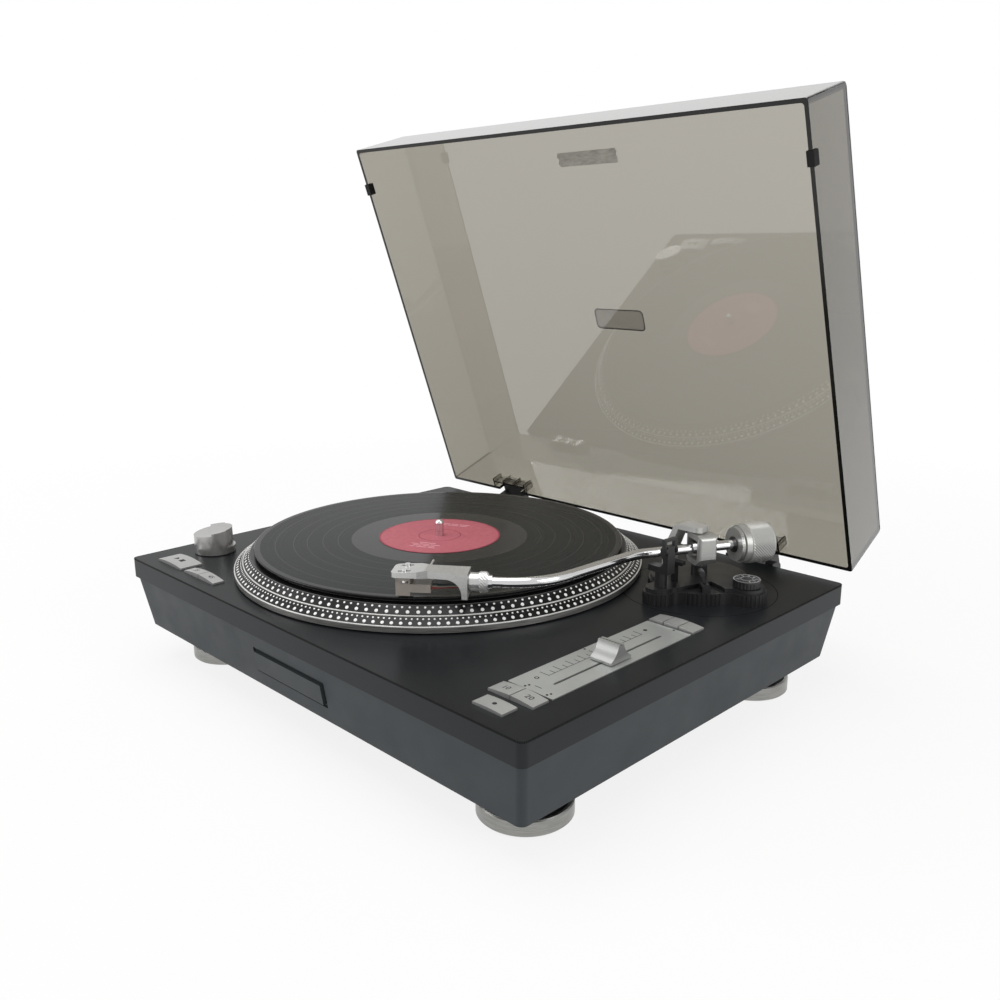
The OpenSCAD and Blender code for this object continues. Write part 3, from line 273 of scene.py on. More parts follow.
def moulded(name, colour, rough=0.45, grain_mm=0.5, depth_mm=0.03, spread=0.12, specular=0.5):
    """A painted or moulded skin: drifting tone, fine grain and uneven gloss."""
    look = Finish(name, rough, specular=specular)
    drift = look.noise(9.0, detail=4.0)
    look.colour(look.ramp(drift, [(0.3, toned(colour, 1 - spread)), (0.7, toned(colour, 1 + spread))]))
    grain = look.noise(1 / (grain_mm * MM), detail=2.0)
    smears = look.noise(38.0, detail=5.0)
    look.rough(look.between(smears, rough - 0.05, rough + 0.06, 0.3, 0.7))
    look.bump(grain, depth_mm, 0.5)
    return look.material


def plated(name, colour, rough, spread=0.08, depth_mm=0.006):
    """Bare or plated metal: a slight mottle and fine scratches."""
    look = Finish(name, rough, metal=1.0)
    mottle = look.noise(60.0, detail=4.0)
    look.colour(look.ramp(mottle, [(0.3, toned(colour, 1 - spread)), (0.7, toned(colour, 1 + spread / 2))]))
    scratches = look.noise(2600.0, detail=2.0)
    look.rough(look.between(scratches, max(0.03, rough - 0.06), rough + 0.08, 0.3, 0.7))
    look.bump(scratches, depth_mm, 0.4)
    return look.material


def silver_paint(name, colour, rough=0.36, metal=0.55, crisp=False):
    """Metallic paint on plastic: fine flake in tone and gloss."""
    look = Finish(name, rough, metal=metal, coat=0.15)
    flake = look.noise(5200.0, detail=1.0)
    drift = look.noise(24.0, detail=3.0)
    tone = look.ramp(drift, [(0.3, toned(colour, 0.93)), (0.7, toned(colour, 1.04))])
    sparkle = look.ramp(flake, [(0.35, (0.86, 0.86, 0.86, 1)), (0.65, (1.0, 1.0, 1.0, 1))])
    look.colour(look.mix(1.0, tone, sparkle, "MULTIPLY"))
    look.rough(look.between(flake, rough - 0.06, rough + 0.08, 0.3, 0.7))
    look.bump(flake, 0.01, 0.35, crisp)
    return look.material


def platter_finish():
    """Gloss black facets over a turned wall of bare metal."""
    look = Finish("platter_casting", 0.3, specular=0.3)
    wall = look.math("LESS_THAN", look.part("Z"), deck_top + (RIM[2][1] - SLACK) * MM)
    lines = look.noise(2600.0, stretch=(0.02, 0.02, 1), detail=2.0)
    grain = look.noise(1500.0, detail=2.0)
    black = look.tones(grain, (11, 11, 12), (18, 18, 19))
    bare = look.tones(lines, (120, 119, 117), (176, 175, 172), 0.35, 0.65)
    look.colour(look.mix(wall, black, bare))
    look.metal(look.math("MULTIPLY", wall, 0.7))
    look.rough(look.between(wall, 0.3, 0.34))
    look.bump(look.math("ADD", grain, lines), 0.008, 0.3)
    return look.material


def deck_finish():
    """Satin paint with drifting tone, fine grain and faintly uneven gloss, and painted light that makes the
    upright sides paler than the top.
    """
    look = Finish("deck_paint_satin", 0.29, specular=0.12)
    upright = look.add("ShaderNodeSeparateXYZ")
    look.put(look.add("ShaderNodeNewGeometry").outputs["Normal"], upright.inputs[0])
    # The paler tone on upright faces is painted light: the sides are made lighter than the top by colour, not by
    # the lamps.
    side = look.math("LESS_THAN", look.math("ABSOLUTE", upright.outputs["Z"]), 0.5)
    drift = look.noise(9.0, detail=2.0)
    top = look.tones(drift, (26, 28, 30), (29, 31, 33))
    edge = look.tones(drift, (41, 44, 46), (45, 48, 50))
    look.colour(look.mix(side, top, edge))
    look.rough(look.between(look.noise(14.0, detail=1.0), 0.28, 0.31, 0.3, 0.7))
    look.bump(look.noise(2800.0, detail=2.0), 0.012, 0.35)
    return look.material


def part_plated(look, bare, black, metal, rough, depth_mm, strength):
    """Black where bare is 0 and plated where it is 1, over one grain."""
    grain = look.noise(1600.0, detail=2.0)
    look.colour(look.mix(bare, look.tones(grain, *black), look.tones(grain, *metal)))
    look.metal(bare)
    look.rough(look.between(bare, *rough))
    look.bump(grain, depth_mm, strength)
    return look.material


def post_finish():
    """A black post under a plated cup."""
    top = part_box("pivot_post")[1].z
    look = Finish("post_and_cup", 0.3)
    cup = look.math("GREATER_THAN", look.part("Z"), top - POST_CUP_TALL * MM)
    black = ((14, 14, 15), (24, 24, 25))
    plating = ((196, 195, 193), (214, 213, 211))
    return part_plated(look, cup, black, plating, (0.42, 0.16), 0.01, 0.3)


def foot_finish(node):
    """A turned metal rim round a black rubber neck."""
    low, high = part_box(node)
    centre = (low + high) / 2
    outer = (high.x - low.x) / 2
    look = Finish(node + "_finish", 0.3)
    radius = look.radius(centre)
    rubber = look.math("LESS_THAN", radius, outer - FOOT_RIM_WIDE * MM)
    pad = look.math("LESS_THAN", look.part("Z"), low.z + FOOT_PAD_TALL * MM)
    dark = look.math("MAXIMUM", rubber, pad)
    lines = look.noise(3000.0, stretch=(0.03, 0.03, 1), detail=2.0)
    bare = look.tones(lines, (142, 142, 139), (172, 171, 168))
    grain = look.noise(1400.0, detail=2.0)
    black = look.tones(grain, (24, 24, 25), (36, 36, 37))
    look.colour(look.mix(dark, bare, black))
    look.metal(look.math("SUBTRACT", 1.0, dark))
    look.rough(look.between(dark, 0.3, 0.72))
    look.bump(look.math("ADD", lines, grain), 0.008, 0.4)
    return look.material


def vinyl(name, grooved):
    """Pressed vinyl: fine concentric grooves that differ in loudness, or a plain polished band."""
    look = Finish(name, 0.16, specular=0.1 if grooved else 0.2)
    ring = look.add("ShaderNodeCombineXYZ")
    look.put(look.radius(spindle), ring.inputs[0])
    rings = ring.outputs[0]
    if grooved:
        loud = look.noise(420.0, detail=3.0, place=rings)
        fine = look.noise(2600.0, detail=1.0, place=rings)
        look.colour(look.tones(loud, (15, 18, 18), (22, 26, 26)))
        look.rough(look.between(loud, 0.26, 0.31, 0.3, 0.7))
        look.bump(fine, 0.012, 0.3)
    else:
        dust = look.noise(700.0, detail=2.0)
        look.colour(look.tones(dust, (22, 23, 23), (34, 35, 35), 0.4, 0.7))
        look.rough(look.between(dust, 0.1, 0.2, 0.3, 0.7))
        look.bump(look.noise(300.0, detail=2.0, place=rings), 0.01, 0.2)
    return look.material


def label_paper():
    """Uncoated coloured paper with fibres, and a pressed ring."""
    look = Finish("label_paper_fibre", 0.62, specular=0.35)
    radius = look.radius(spindle)
    fibres = look.noise(900.0, stretch=(1, 0.25, 1), detail=4.0)
    tone = look.tones(fibres, (172, 88, 99), (192, 106, 116), 0.25, 0.75)
    off_ring = look.math("ABSOLUTE", look.math("SUBTRACT", radius, LABEL_RING_R * MM))
    ring = look.math("LESS_THAN", off_ring, LABEL_RING_HALF * MM)
    edge = look.math("GREATER_THAN", radius, LABEL_EDGE_R * MM)
    look.colour(look.mix(look.math("MAXIMUM", ring, edge), tone, srgb(150, 64, 78)))
    look.bump(look.math("SUBTRACT", fibres, look.math("MULTIPLY", ring, 2.0)), 0.03, 0.4)
    return look.material


def felt():
    """Short dark fibres."""
    look = Finish("mat_felt_fibre", 0.95, specular=0.1)
    fibres = look.noise(1800.0, stretch=(1, 1, 0.4), detail=5.0)
    look.colour(look.tones(fibres, (20, 20, 20), (42, 42, 42)))
    look.level("Sheen Weight", 0.4)
    look.bump(fibres, 0.12, 0.7)
    return look.material


def smoke_acrylic():
    """Clear sheet, tinted through its thickness, with painted shade that makes it greyer near the hinge, and
    slightly uneven in gloss.
    """
    look = Finish("smoke_acrylic_sheet", 0.03, coat=1.0)
    look.level("Coat Roughness", 0.03)
    # The base colour darkens towards the hinge: painted shade along the panel.
    height = look.between(look.along(hinge, panel_up), 0.0, 1.0, 0.0, COVER_LONG * MM)
    look.colour(look.ramp(height, [(0.05, (0.84, 0.84, 0.83, 1)), (0.95, (1.0, 1.0, 1.0, 1))]))
    look.level("IOR", 1.49)
    look.level("Transmission Weight", 1.0)
    look.rough(look.between(look.noise(30.0, detail=2.0), 0.01, 0.03, 0.35, 0.7))
    look.bump(look.noise(14.0, detail=0.0), 0.004, 0.1)
    tint = look.add("ShaderNodeVolumeAbsorption")
    tint.inputs["Color"].default_value = (0.53, 0.502, 0.43, 1.0)
    tint.inputs["Density"].default_value = 605.0
    look.put(tint.outputs[0], look.output.inputs["Volume"])
    shade = look.add("ShaderNodeBsdfTransparent")
    shade.inputs["Color"].default_value = (0.55, 0.54, 0.5, 1.0)
    light = look.add("ShaderNodeLightPath")
    choice = look.add("ShaderNodeMixShader")
    look.put(light.outputs["Is Shadow Ray"], choice.inputs[0])
    look.put(look.shader.outputs[0], choice.inputs[1])
    look.put(shade.outputs[0], choice.inputs[2])
    look.put(choice.outputs[0], look.output.inputs["Surface"])
    return look.material


def badge_film():
    """A frosted smoke film, a little denser than the sheet behind it."""
    look = Finish("badge_frosted_film", 0.35)
    cloud = look.noise(240.0, detail=3.0)
    look.colour(look.ramp(cloud, [(0.3, (0.5, 0.485, 0.46, 1)), (0.7, (0.57, 0.55, 0.525, 1))]))
    look.level("Transmission Weight", 1.0)
    look.rough(look.between(cloud, 0.3, 0.42, 0.3, 0.7))
    look.bump(cloud, 0.02, 0.3)
    return look.material


def aged_tape():
    """Paper tape that has yellowed and lifted in places."""
    look = Finish("aged_tape_paper", 0.7, specular=0.3)
    fibres = look.noise(700.0, stretch=(0.3, 1, 1), detail=5.0)
    stain = look.noise(80.0, detail=4.0)
    tone = look.tones(stain, (150, 147, 138), (182, 179, 170))
    threads = look.tones(fibres, (132, 129, 122), (196, 194, 188))
    look.colour(look.mix(0.35, tone, threads))
    look.bump(fibres, 0.05, 0.5)
    return look.material


def circuit_board():
    """Green lacquer over copper traces."""
    look = Finish("board_lacquer", 0.35)
    traces = look.add("ShaderNodeTexBrick")
    look.put(look.place, traces.inputs["Vector"])
    traces.inputs["Scale"].default_value = 160.0
    traces.inputs["Color1"].default_value = srgb(38, 82, 52)
    traces.inputs["Color2"].default_value = srgb(44, 92, 58)
    traces.inputs["Mortar"].default_value = srgb(70, 118, 76)
    look.colour(traces.outputs["Color"])
    look.bump(traces.outputs["Fac"], 0.02, 0.4)
    return look.material


def winding():
    """Lacquered copper wire in close turns."""
    look = Finish("copper_turns", 0.32, metal=0.9)
    turns = look.add("ShaderNodeTexWave", bands_direction="Z")
    look.put(look.place, turns.inputs["Vector"])
    turns.inputs["Scale"].default_value = 500.0
    turns.inputs["Distortion"].default_value = 0.6
    look.colour(look.tones(turns.outputs["Fac"], (92, 48, 26), (190, 116, 70), 0.1, 0.8))
    look.bump(turns.outputs["Fac"], 0.1, 0.6)
    return look.material


def socket_finish():
    """Black moulding, with nickel on what stands out of the rear face."""
    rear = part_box("rear_sockets")[1].y
    look = Finish("rear_socket_skin", 0.4)
    outside = look.math("GREATER_THAN", look.part("Y"), rear - SOCKET_PROUD * MM)
    black = ((22, 22, 23), (32, 32, 33))
    nickel = ((176, 172, 160), (200, 197, 186))
    return part_plated(look, outside, black, nickel, (0.48, 0.25), 0.02, 0.4)


def wire_finish():
    """Four thin wires side by side, each with its own colour."""
    look = Finish("lead_insulation", 0.45)
    side = look.along(head, head_forward.cross(UP))
    share = look.between(side, 0.0, 1.0, -WIRES_HALF * MM, WIRES_HALF * MM)
    look.colour(look.ramp(share, [(0.0, srgb(120, 44, 42)), (0.27, srgb(186, 180, 172)),
                                  (0.5, srgb(58, 84, 62)), (0.73, srgb(58, 64, 88))], sharp=True))
    look.rough(look.between(look.noise(900.0), 0.38, 0.55, 0.3, 0.7))
    return look.material


# Finishes
deck_paint = deck_finish()
body_paint = moulded("body_paint_slate", srgb(57, 62, 65), 0.46, 0.5, 0.03, 0.04, 0.2)
plate_paint = moulded("front_plate_paint", srgb(56, 61, 63), 0.42, 0.45, 0.02, 0.04, 0.2)
black_plastic = moulded("black_moulding", srgb(28, 28, 30), 0.36, 0.6, 0.03, 0.12, 0.55)
black_rubber = moulded("black_rubber", srgb(16, 16, 16), 0.7, 0.8, 0.05, 0.15, 0.3)
hinge_black = moulded("hinge_moulding", srgb(26, 25, 25), 0.34, 0.6, 0.02, 0.12, 0.5)
silver = silver_paint("silver_moulding", srgb(170, 171, 169))
key_silver = silver_paint("key_silver", srgb(180, 181, 179), 0.4)
panel_silver = silver_paint("panel_silver", srgb(184, 187, 184), 0.38)
shell_silver = silver_paint("headshell_silver", srgb(204, 204, 202), 0.3)
chrome = plated("polished_plating", srgb(222, 222, 223), 0.09, spread=0.03, depth_mm=0.002)
knob_metal = silver_paint("satin_chrome", srgb(188, 187, 185), 0.2, 0.68, crisp=True)
# Turned beads are real ridges; their near-white, barely metallic colour is painted highlight in place of the
# polished metal's reflection.
painted_highlight_line = silver_paint("turned_line_painted_highlight", srgb(226, 225, 222), 0.28, 0.2)
dull_line = silver_paint("dull_turned_line", srgb(78, 78, 77), 0.34, 0.3)
arm_silver = silver_paint("arm_satin_silver", srgb(190, 190, 187), 0.28, 0.55)
yoke_silver = silver_paint("yoke_satin_silver", srgb(206, 206, 203), 0.28, 0.35)
weight_silver = silver_paint("weight_satin_silver", srgb(196, 196, 193), 0.3, 0.5)
collar_silver = silver_paint("collar_plating", srgb(214, 214, 213), 0.2, 0.6)
steel = plated("plain_steel", srgb(150, 148, 144), 0.36)
dark_steel = plated("dark_steel", srgb(96, 95, 94), 0.4)
magnet_grey = moulded("sintered_ring", srgb(84, 80, 76), 0.6, 0.4, 0.05, 0.1)
beige = moulded("cartridge_moulding", srgb(160, 152, 144), 0.4, 0.3, 0.01, 0.05)
dot_white = moulded("strobe_dot_paint", srgb(252, 252, 250), 0.4, 0.3, 0.005, 0.02)
ink = moulded("printed_ink", srgb(34, 34, 35), 0.6, 0.2, 0.004, 0.1, 0.25)
pale_ink = moulded("pale_printed_ink", srgb(214, 214, 214), 0.6, 0.2, 0.004, 0.06, 0.25)
acrylic_edge = moulded("acrylic_cut_edge", srgb(20, 20, 18), 0.22, 0.5, 0.01, 0.15, 0.4)
# Near-black line paint: painted shade along the deck's top edge, and the dark seam round the arm base.
edge_shade_and_seam_paint = moulded("painted_edge_shade_and_seam", srgb(11, 11, 11), 0.6, 0.4, 0.01, 0.15, 0.12)
label_ink = moulded("label_pale_ink", srgb(226, 170, 178), 0.65, 0.2, 0.004, 0.05, 0.25)
lamp_dark = moulded("lamp_lens", srgb(26, 14, 14), 0.15, 0.3, 0.004, 0.1, 0.6)
jack_red = moulded("jack_red_insulator", srgb(168, 32, 34), 0.4, 0.3, 0.01, 0.06)
jack_white = moulded("jack_white_insulator", srgb(214, 213, 208), 0.4, 0.3, 0.01, 0.03)
groove_vinyl = vinyl("grooved_vinyl", True)
plain_vinyl = vinyl("polished_vinyl", False)

CAD_FINISHES = {
    "top_deck": deck_paint, "arm_base_disc": deck_paint, "lower_body": body_paint,
    "front_plate": plate_paint, "bottom_cover": black_plastic, "case_screws": steel,
    "platter": platter_finish(), "spindle": chrome, "rotor_magnet": magnet_grey,
    "record_label": label_paper(), "platter_bearing": steel, "motor_stator": winding(),
    "main_board": circuit_board(), "transformer": dark_steel, "rear_sockets": socket_finish(),
    "arm_base": black_plastic, "pivot_post": post_finish(), "arm_yoke": yoke_silver,
    "gimbal_ring": arm_silver, "pivot_block": chrome, "arm_tube": chrome, "lock_collar": collar_silver,
    "headshell": shell_silver, "cartridge": beige, "stylus": black_plastic, "cartridge_screws": chrome,
    "lead_wires": wire_finish(), "counterweight_bush": dark_steel, "counterweight": weight_silver,
    "force_dial": arm_silver, "anti_skate_knob": black_plastic, "cue_lever": black_plastic,
    "cue_lifter": black_rubber, "arm_rest": black_plastic, "arm_clip": black_plastic,
    "strobe_base": black_plastic, "power_knob": knob_metal, "pitch_panel": panel_silver,
    "fader_track": black_rubber, "pitch_fader": silver, "lid_cover": smoke_acrylic(),
    "lid_bumpers": black_rubber, "hinge_leaves": hinge_black, "hinge_bases": hinge_black,
}
CAD_FINISHES["switch_boards"] = CAD_FINISHES["main_board"]
for name in nodes:
    if name.startswith("foot_"):
        CAD_FINISHES[name] = foot_finish(name)
    if "_key" in name:
        CAD_FINISHES[name] = key_silver
for name, material in CAD_FINISHES.items():
    nodes[name].data.materials.clear()
    nodes[name].data.materials.append(material)


def piece(name, shape, body, materials, kinds=None, smooth=True):
    """A new mesh that rides on a body. kinds gives each face's material."""
    verts, faces = shape
    mesh = bpy.data.meshes.new(name)
    mesh.from_pydata([tuple(v) for v in verts], [], faces)
    for material in materials:
        mesh.materials.append(material)
    for index, polygon in enumerate(mesh.polygons):
        polygon.use_smooth = smooth
        if kinds:
            polygon.material_index = kinds[index]
    work = bmesh.new()
    work.from_mesh(mesh)
    bmesh.ops.recalc_face_normals(work, faces=work.faces)
    work.to_mesh(mesh)
    work.free()
    made = placed(name, mesh)
    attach(made, body)
    return made


def spokes(axis, count):
    """Directions square to an axis, evenly round it."""
    side = axis.orthogonal().normalized()
    other = axis.cross(side).normalized()
    turns = [math.tau * step / count for step in range(count)]
    return [side * math.cos(turn) + other * math.sin(turn) for turn in turns]


def ring_faces(rings, count):
    """The faces between rings of points, closed round each ring and from the last ring to the first."""
    faces = []
    for ring in range(rings):
        after = (ring + 1) % rings
        for i in range(count):
            j = (i + 1) % count
            faces.append((ring * count + i, ring * count + j, after * count + j, after * count + i))
    return faces


def slab_faces(flat, count):
    """Flat faces, the same ones count points further on, and walls along their outer edges."""
    faces = [tuple(reversed(face)) for face in flat] + [tuple(i + count for i in face) for face in flat]
    edges = dict.fromkeys(edge for face in flat for edge in zip(face, face[1:] + face[:1]))
    return faces + [(a, b, b + count, a + count) for a, b in edges if (b, a) not in edges]


def oblong(x0, x1, y0, y1):
    """The corners of a rectangle."""
    return [(x0, y0), (x1, y0), (x1, y1), (x0, y1)]


def bar(x, y, wide, deep):
    """The outline of a rectangle round its centre."""
    return oblong(x - wide / 2, x + wide / 2, y - deep / 2, y + deep / 2)


def spot(x, y, radius, sides=20):
    """The outline of a circle."""
    turns = [math.tau * i / sides for i in range(sides)]
    return [(x + radius * math.cos(turn), y + radius * math.sin(turn)) for turn in turns]


def rounded_loop(wide, deep, radius, steps=6):
    """The outline of a rectangle with round corners, centred on the origin."""
    points = []
    for quarter, (x, y) in enumerate(((1, 1), (-1, 1), (-1, -1), (1, -1))):
        for step in range(steps + 1):
            angle = math.radians(90 * (quarter + step / steps))
            points.append((x * (wide / 2 - radius) + radius * math.cos(angle),
                           y * (deep / 2 - radius) + radius * math.sin(angle)))
    return points


def lathe(origin, axis, profile_mm, segments):
    """A closed profile of (radius, distance along the axis), turned about the axis."""
    verts = []
    for out in spokes(axis, segments):
        verts += [origin + out * (r * MM) + axis * (s * MM) for r, s in profile_mm]
    return verts, ring_faces(segments, len(profile_mm))


def rod(start, end, radius_mm):
    """A thin closed rod between two points."""
    axis = (end - start).normalized()
    length = (end - start).length / MM
    return lathe(start, axis, oblong(0.02, radius_mm, 0.0, length), 10)


def band(origin, across_x, across_y, size_mm, radius_mm, profile_mm):
    """A closed profile of (inset, height) run round a rectangle with round corners."""
    normal = across_x.cross(across_y)
    verts = []
    for inset, rise in profile_mm:
        wide, deep = (side - 2 * inset for side in size_mm)
        loop = rounded_loop(wide, deep, max(0.2, radius_mm - inset))
        verts += [origin + (across_x * x + across_y * y + normal * rise) * MM for x, y in loop]
    return verts, ring_faces(len(profile_mm), len(loop))


def raised(points, origin, across_x, across_y, thick_mm, lift=None):
    """Points in millimetres on a plane, and again a thickness above it; lift moves each along the normal."""
    normal = across_x.cross(across_y)
    verts = []
    for level in (0.0, thick_mm):
        for x, y in points:
            rise = level + (lift(x, y) if lift else 0.0)
            verts.append(origin + across_x * (x * MM) + across_y * (y * MM) + normal * (rise * MM))
    return verts


def plate(outline, origin, across_x, across_y, thick_mm=INK_THICK, lift=None):
    """A thin closed plate of an outline in millimetres, on a plane."""
    count = len(outline)
    faces = slab_faces([tuple(range(count))], count)
    return raised(outline, origin, across_x, across_y, thick_mm, lift), faces


def digits(text, height_mm):
    """The outlines of plain numbers, filled, as points in millimetres and faces, centred on the origin."""
    curve = bpy.data.curves.new("digits", "FONT")
    curve.body = text
    curve.size = height_mm * 1.4
    curve.align_x = "CENTER"
    curve.align_y = "CENTER"
    curve.resolution_u = 3
    holder = placed("digits", curve)
    bpy.context.view_layer.update()
    mesh = bpy.data.meshes.new_from_object(holder)
    points = [(v.co.x, v.co.y) for v in mesh.vertices]
    faces = [tuple(p.vertices) for p in mesh.polygons]
    bpy.data.objects.remove(holder)
    bpy.data.curves.remove(curve)
    bpy.data.meshes.remove(mesh)
    return points, faces


def printed(text, height_mm, origin, across_x, across_y, lift=None):
    """Plain numbers as a thin closed plate on a plane."""
    points, flat = digits(text, height_mm)
    return raised(points, origin, across_x, across_y, INK_THICK, lift), slab_faces(flat, len(points))


def skin(node, direction, level, thick_mm):
    """A thin closed cover over a node's flat faces that look in a direction and lie at a level."""
    mesh = nodes[node].data
    chosen = [p.vertices for p in mesh.polygons
              if p.normal.dot(direction) > FACING and abs(p.center.dot(direction) - level) < SLACK * MM]
    used = sorted({i for face in chosen for i in face})
    index = {old: new for new, old in enumerate(used)}
    verts = [mesh.vertices[i].co + direction * (rise * MM) for rise in (-HAIR, thick_mm) for i in used]
    flat = [tuple(index[i] for i in face) for face in chosen]
    return verts, slab_faces(flat, len(used))


def joined(shapes):
    """Several shapes as one."""
    verts, faces = [], []
    for more_verts, more_faces in shapes:
        base = len(verts)
        verts += more_verts
        faces += [tuple(base + i for i in face) for face in more_faces]
    return verts, faces


def box_middle(low, high, z):
    """The middle of a box seen from above, at a height."""
    return Vector(((low.x + high.x) / 2, (low.y + high.y) / 2, z))


def extent(points, direction):
    """The least and the greatest distance of points along a direction."""
    reaches = [point.dot(direction) for point in points]
    return min(reaches), max(reaches)


def spread_of(node, origin, axis):
    """Where a turned node is widest: start and end along an axis, and the radius, in millimetres."""
    found = []
    for vertex in nodes[node].data.vertices:
        arm = vertex.co - origin
        far = arm.dot(axis)
        found.append((far / MM, (arm - axis * far).length / MM))
    widest = max(r for s, r in found)
    wide_part = [s for s, r in found if r > widest - SLACK]
    return min(wide_part), max(wide_part), widest


# Platter trim: four rows of strobe dots, each with its facet, share of the facet, count and radius
ROWS = ((0, 0.21, 184, 0.8), (0, 0.63, 135, 1.32), (1, 0.25, 262, 0.7), (1, 0.63, 160, 1.28))
DOT_HEIGHT = 0.3
DOT_SIDES = 10
DOT_RINGS = ((1.0, -0.25), (1.0, 0.45), (0.72, 0.85))
rim_centre = Vector((spindle.x, spindle.y, deck_top))


def strobe_dot(facet, share, angle, radius):
    """A low dome on a facet of the rim."""
    (r0, z0), (r1, z1) = RIM[facet:facet + 2]
    out = Vector((math.cos(angle), math.sin(angle), 0))
    run = (out * (r1 - r0) + UP * (z1 - z0)).normalized()
    round_way = UP.cross(out)
    normal = (round_way.cross(run)).normalized()
    if normal.dot(out) < 0:
        normal = -normal
    middle = rim_centre + (out * (r0 + (r1 - r0) * share) + UP * (z0 + (z1 - z0) * share)) * MM
    verts = []
    for size, rise in DOT_RINGS:
        for i in range(DOT_SIDES):
            turn = math.tau * i / DOT_SIDES
            flat = (run * math.cos(turn) + round_way * math.sin(turn)) * (radius * size)
            verts.append(middle + (flat + normal * (rise * DOT_HEIGHT)) * MM)
    faces = [tuple(range(DOT_SIDES)), tuple(range(2 * DOT_SIDES, 3 * DOT_SIDES))]
    for base in (0, DOT_SIDES):
        for i in range(DOT_SIDES):
            j = (i + 1) % DOT_SIDES
            faces.append((base + i, base + j, base + j + DOT_SIDES, base + i + DOT_SIDES))
    return verts, faces


for row, (facet, share, count, radius) in enumerate(ROWS):
    turns = [math.tau * (i + 0.5 * (row % 2)) / count for i in range(count)]
    dots = joined([strobe_dot(facet, share, turn, radius) for turn in turns])
    piece("strobe_dots_%d" % (row + 1), dots, "turning_platter", [dot_white])


def rim_line(name, radius, height, size, material):
    """A turned bead round the rim."""
    bead = lathe(rim_centre, UP, spot(radius, height, size, 8), 256)
    return piece(name, bead, "turning_platter", [material])


# The low and middle beads carry painted highlight: near-white colour instead of reflection.
rim_line("rim_line_low", RIM[2][0] - 0.35, RIM[2][1] + 0.1, 0.65, painted_highlight_line)
rim_line("rim_line_middle", RIM[1][0] + 0.02, RIM[1][1] + 0.02, 0.6, painted_highlight_line)
rim_line("rim_line_top", RIM[0][0] - 0.2, RIM[0][1] - 0.2, 0.42, dull_line)

# Record: lip, grooves in bands, polished run-out, label bed
record_top = (record_high.z - deck_top) / MM
record_bottom = (record_low.z - deck_top) / MM
record_r = (record_high.x - record_low.x) / 2 / MM
HOLE_R = 3.65
LABEL_R = 50.6
LABEL_STEP = 0.6
RUN_OUT_R = 72.5
LIP_R = 145.4
LIP_STEP = 0.4
LIP_DROP = 0.02
EDGE_R = 0.9
GROOVE_DEEP = 0.12
BREAK_R = (83.4, 95.6, 108.2, 119.0, 133.5)
BREAK_HALF = 0.22
CREASE = 0.04


def record_profile():
    """The record's section as (radius, height, polished), from the hole over the top and back underneath."""
    top = record_top
    floor = record_top - GROOVE_DEEP
    bed = LABEL_R + LABEL_STEP
    lip = LIP_R + LIP_STEP
    points = [(HOLE_R, top, True), (LABEL_R - CREASE, top, True), (LABEL_R, top, True),
              (bed, floor, True), (bed + CREASE, floor, True), (RUN_OUT_R, floor, False)]
    for r in BREAK_R:
        points += [(r - BREAK_HALF, floor, True), (r + BREAK_HALF, floor, False)]
    points += [(LIP_R - CREASE, floor, True), (LIP_R, floor, True), (lip, top - LIP_DROP, True),
               (lip + CREASE, top - LIP_DROP, True), (record_r - EDGE_R - CREASE, top, True)]
    middle = (top + record_bottom) / 2
    half = (top - record_bottom) / 2
    for angle in (90, 60, 30, 0, -30, -60, -90):
        turn = math.radians(angle)
        points.append((record_r - EDGE_R + EDGE_R * math.cos(turn), middle + half * math.sin(turn), True))
    return points + [(record_r - EDGE_R - CREASE, record_bottom, True), (HOLE_R, record_bottom, True)]


profile = record_profile()
pressing = lathe(rim_centre, UP, [point[:2] for point in profile], 256)
kinds = [int(profile[i % len(profile)][2]) for i in range(len(pressing[1]))]
disc = piece("record_pressing", pressing, "turning_platter", [groove_vinyl, plain_vinyl], kinds)
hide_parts("record")

# Slip mat: a felt disc with a soft edge
mat_low, mat_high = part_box("slip_mat")
mat_r = (mat_high.x - mat_low.x) / 2 / MM
mat_bottom = (mat_low.z - deck_top) / MM
mat_top = (mat_high.z - deck_top) / MM
mat_middle = (mat_top + mat_bottom) / 2
soft = (mat_top - mat_bottom) / 2
profile = [(r, mat_top) for r in (HOLE_R, 40, 80, 120, mat_r - soft)]
for angle in (60, 30, 0, -30, -60):
    turn = math.radians(angle)
    profile.append((mat_r - soft + soft * math.cos(turn), mat_middle + soft * math.sin(turn)))
profile += [(mat_r - soft, mat_bottom), (HOLE_R, mat_bottom)]
mat = piece("felt_mat", lathe(rim_centre, UP, profile, 128), "turning_platter", [felt()])
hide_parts("slip_mat")

# Label print: plain rows of short bars, and none of it is lettering
label_face = Vector((spindle.x, spindle.y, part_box("record_label")[1].z))
PRINT_TURN = math.radians(205)
PRINT_ROWS = ((-34.0, (9, 6, 8)), (-30.5, (7, 9, 5)), (24.0, (14,)), (28.0, (8, 8, 6)), (31.5, (10, 7)),
              (35.0, (6, 9, 4)))
PRINT_TALL = 1.1
PRINT_GAP = 1.5
print_x = Vector((math.cos(PRINT_TURN), math.sin(PRINT_TURN), 0))
print_y = UP.cross(print_x)
shapes = []
for y, lengths in PRINT_ROWS:
    start = -(sum(lengths) + PRINT_GAP * (len(lengths) - 1)) / 2
    for length in lengths:
        shapes.append(plate(bar(start + length / 2, y, length, PRINT_TALL), label_face, print_x, print_y))
        start += length + PRINT_GAP
piece("label_print", joined(shapes), "turning_platter", [label_ink], smooth=False)

# Knurling
KNURL_PITCH = 1.05
KNURL_ROOT = 0.3


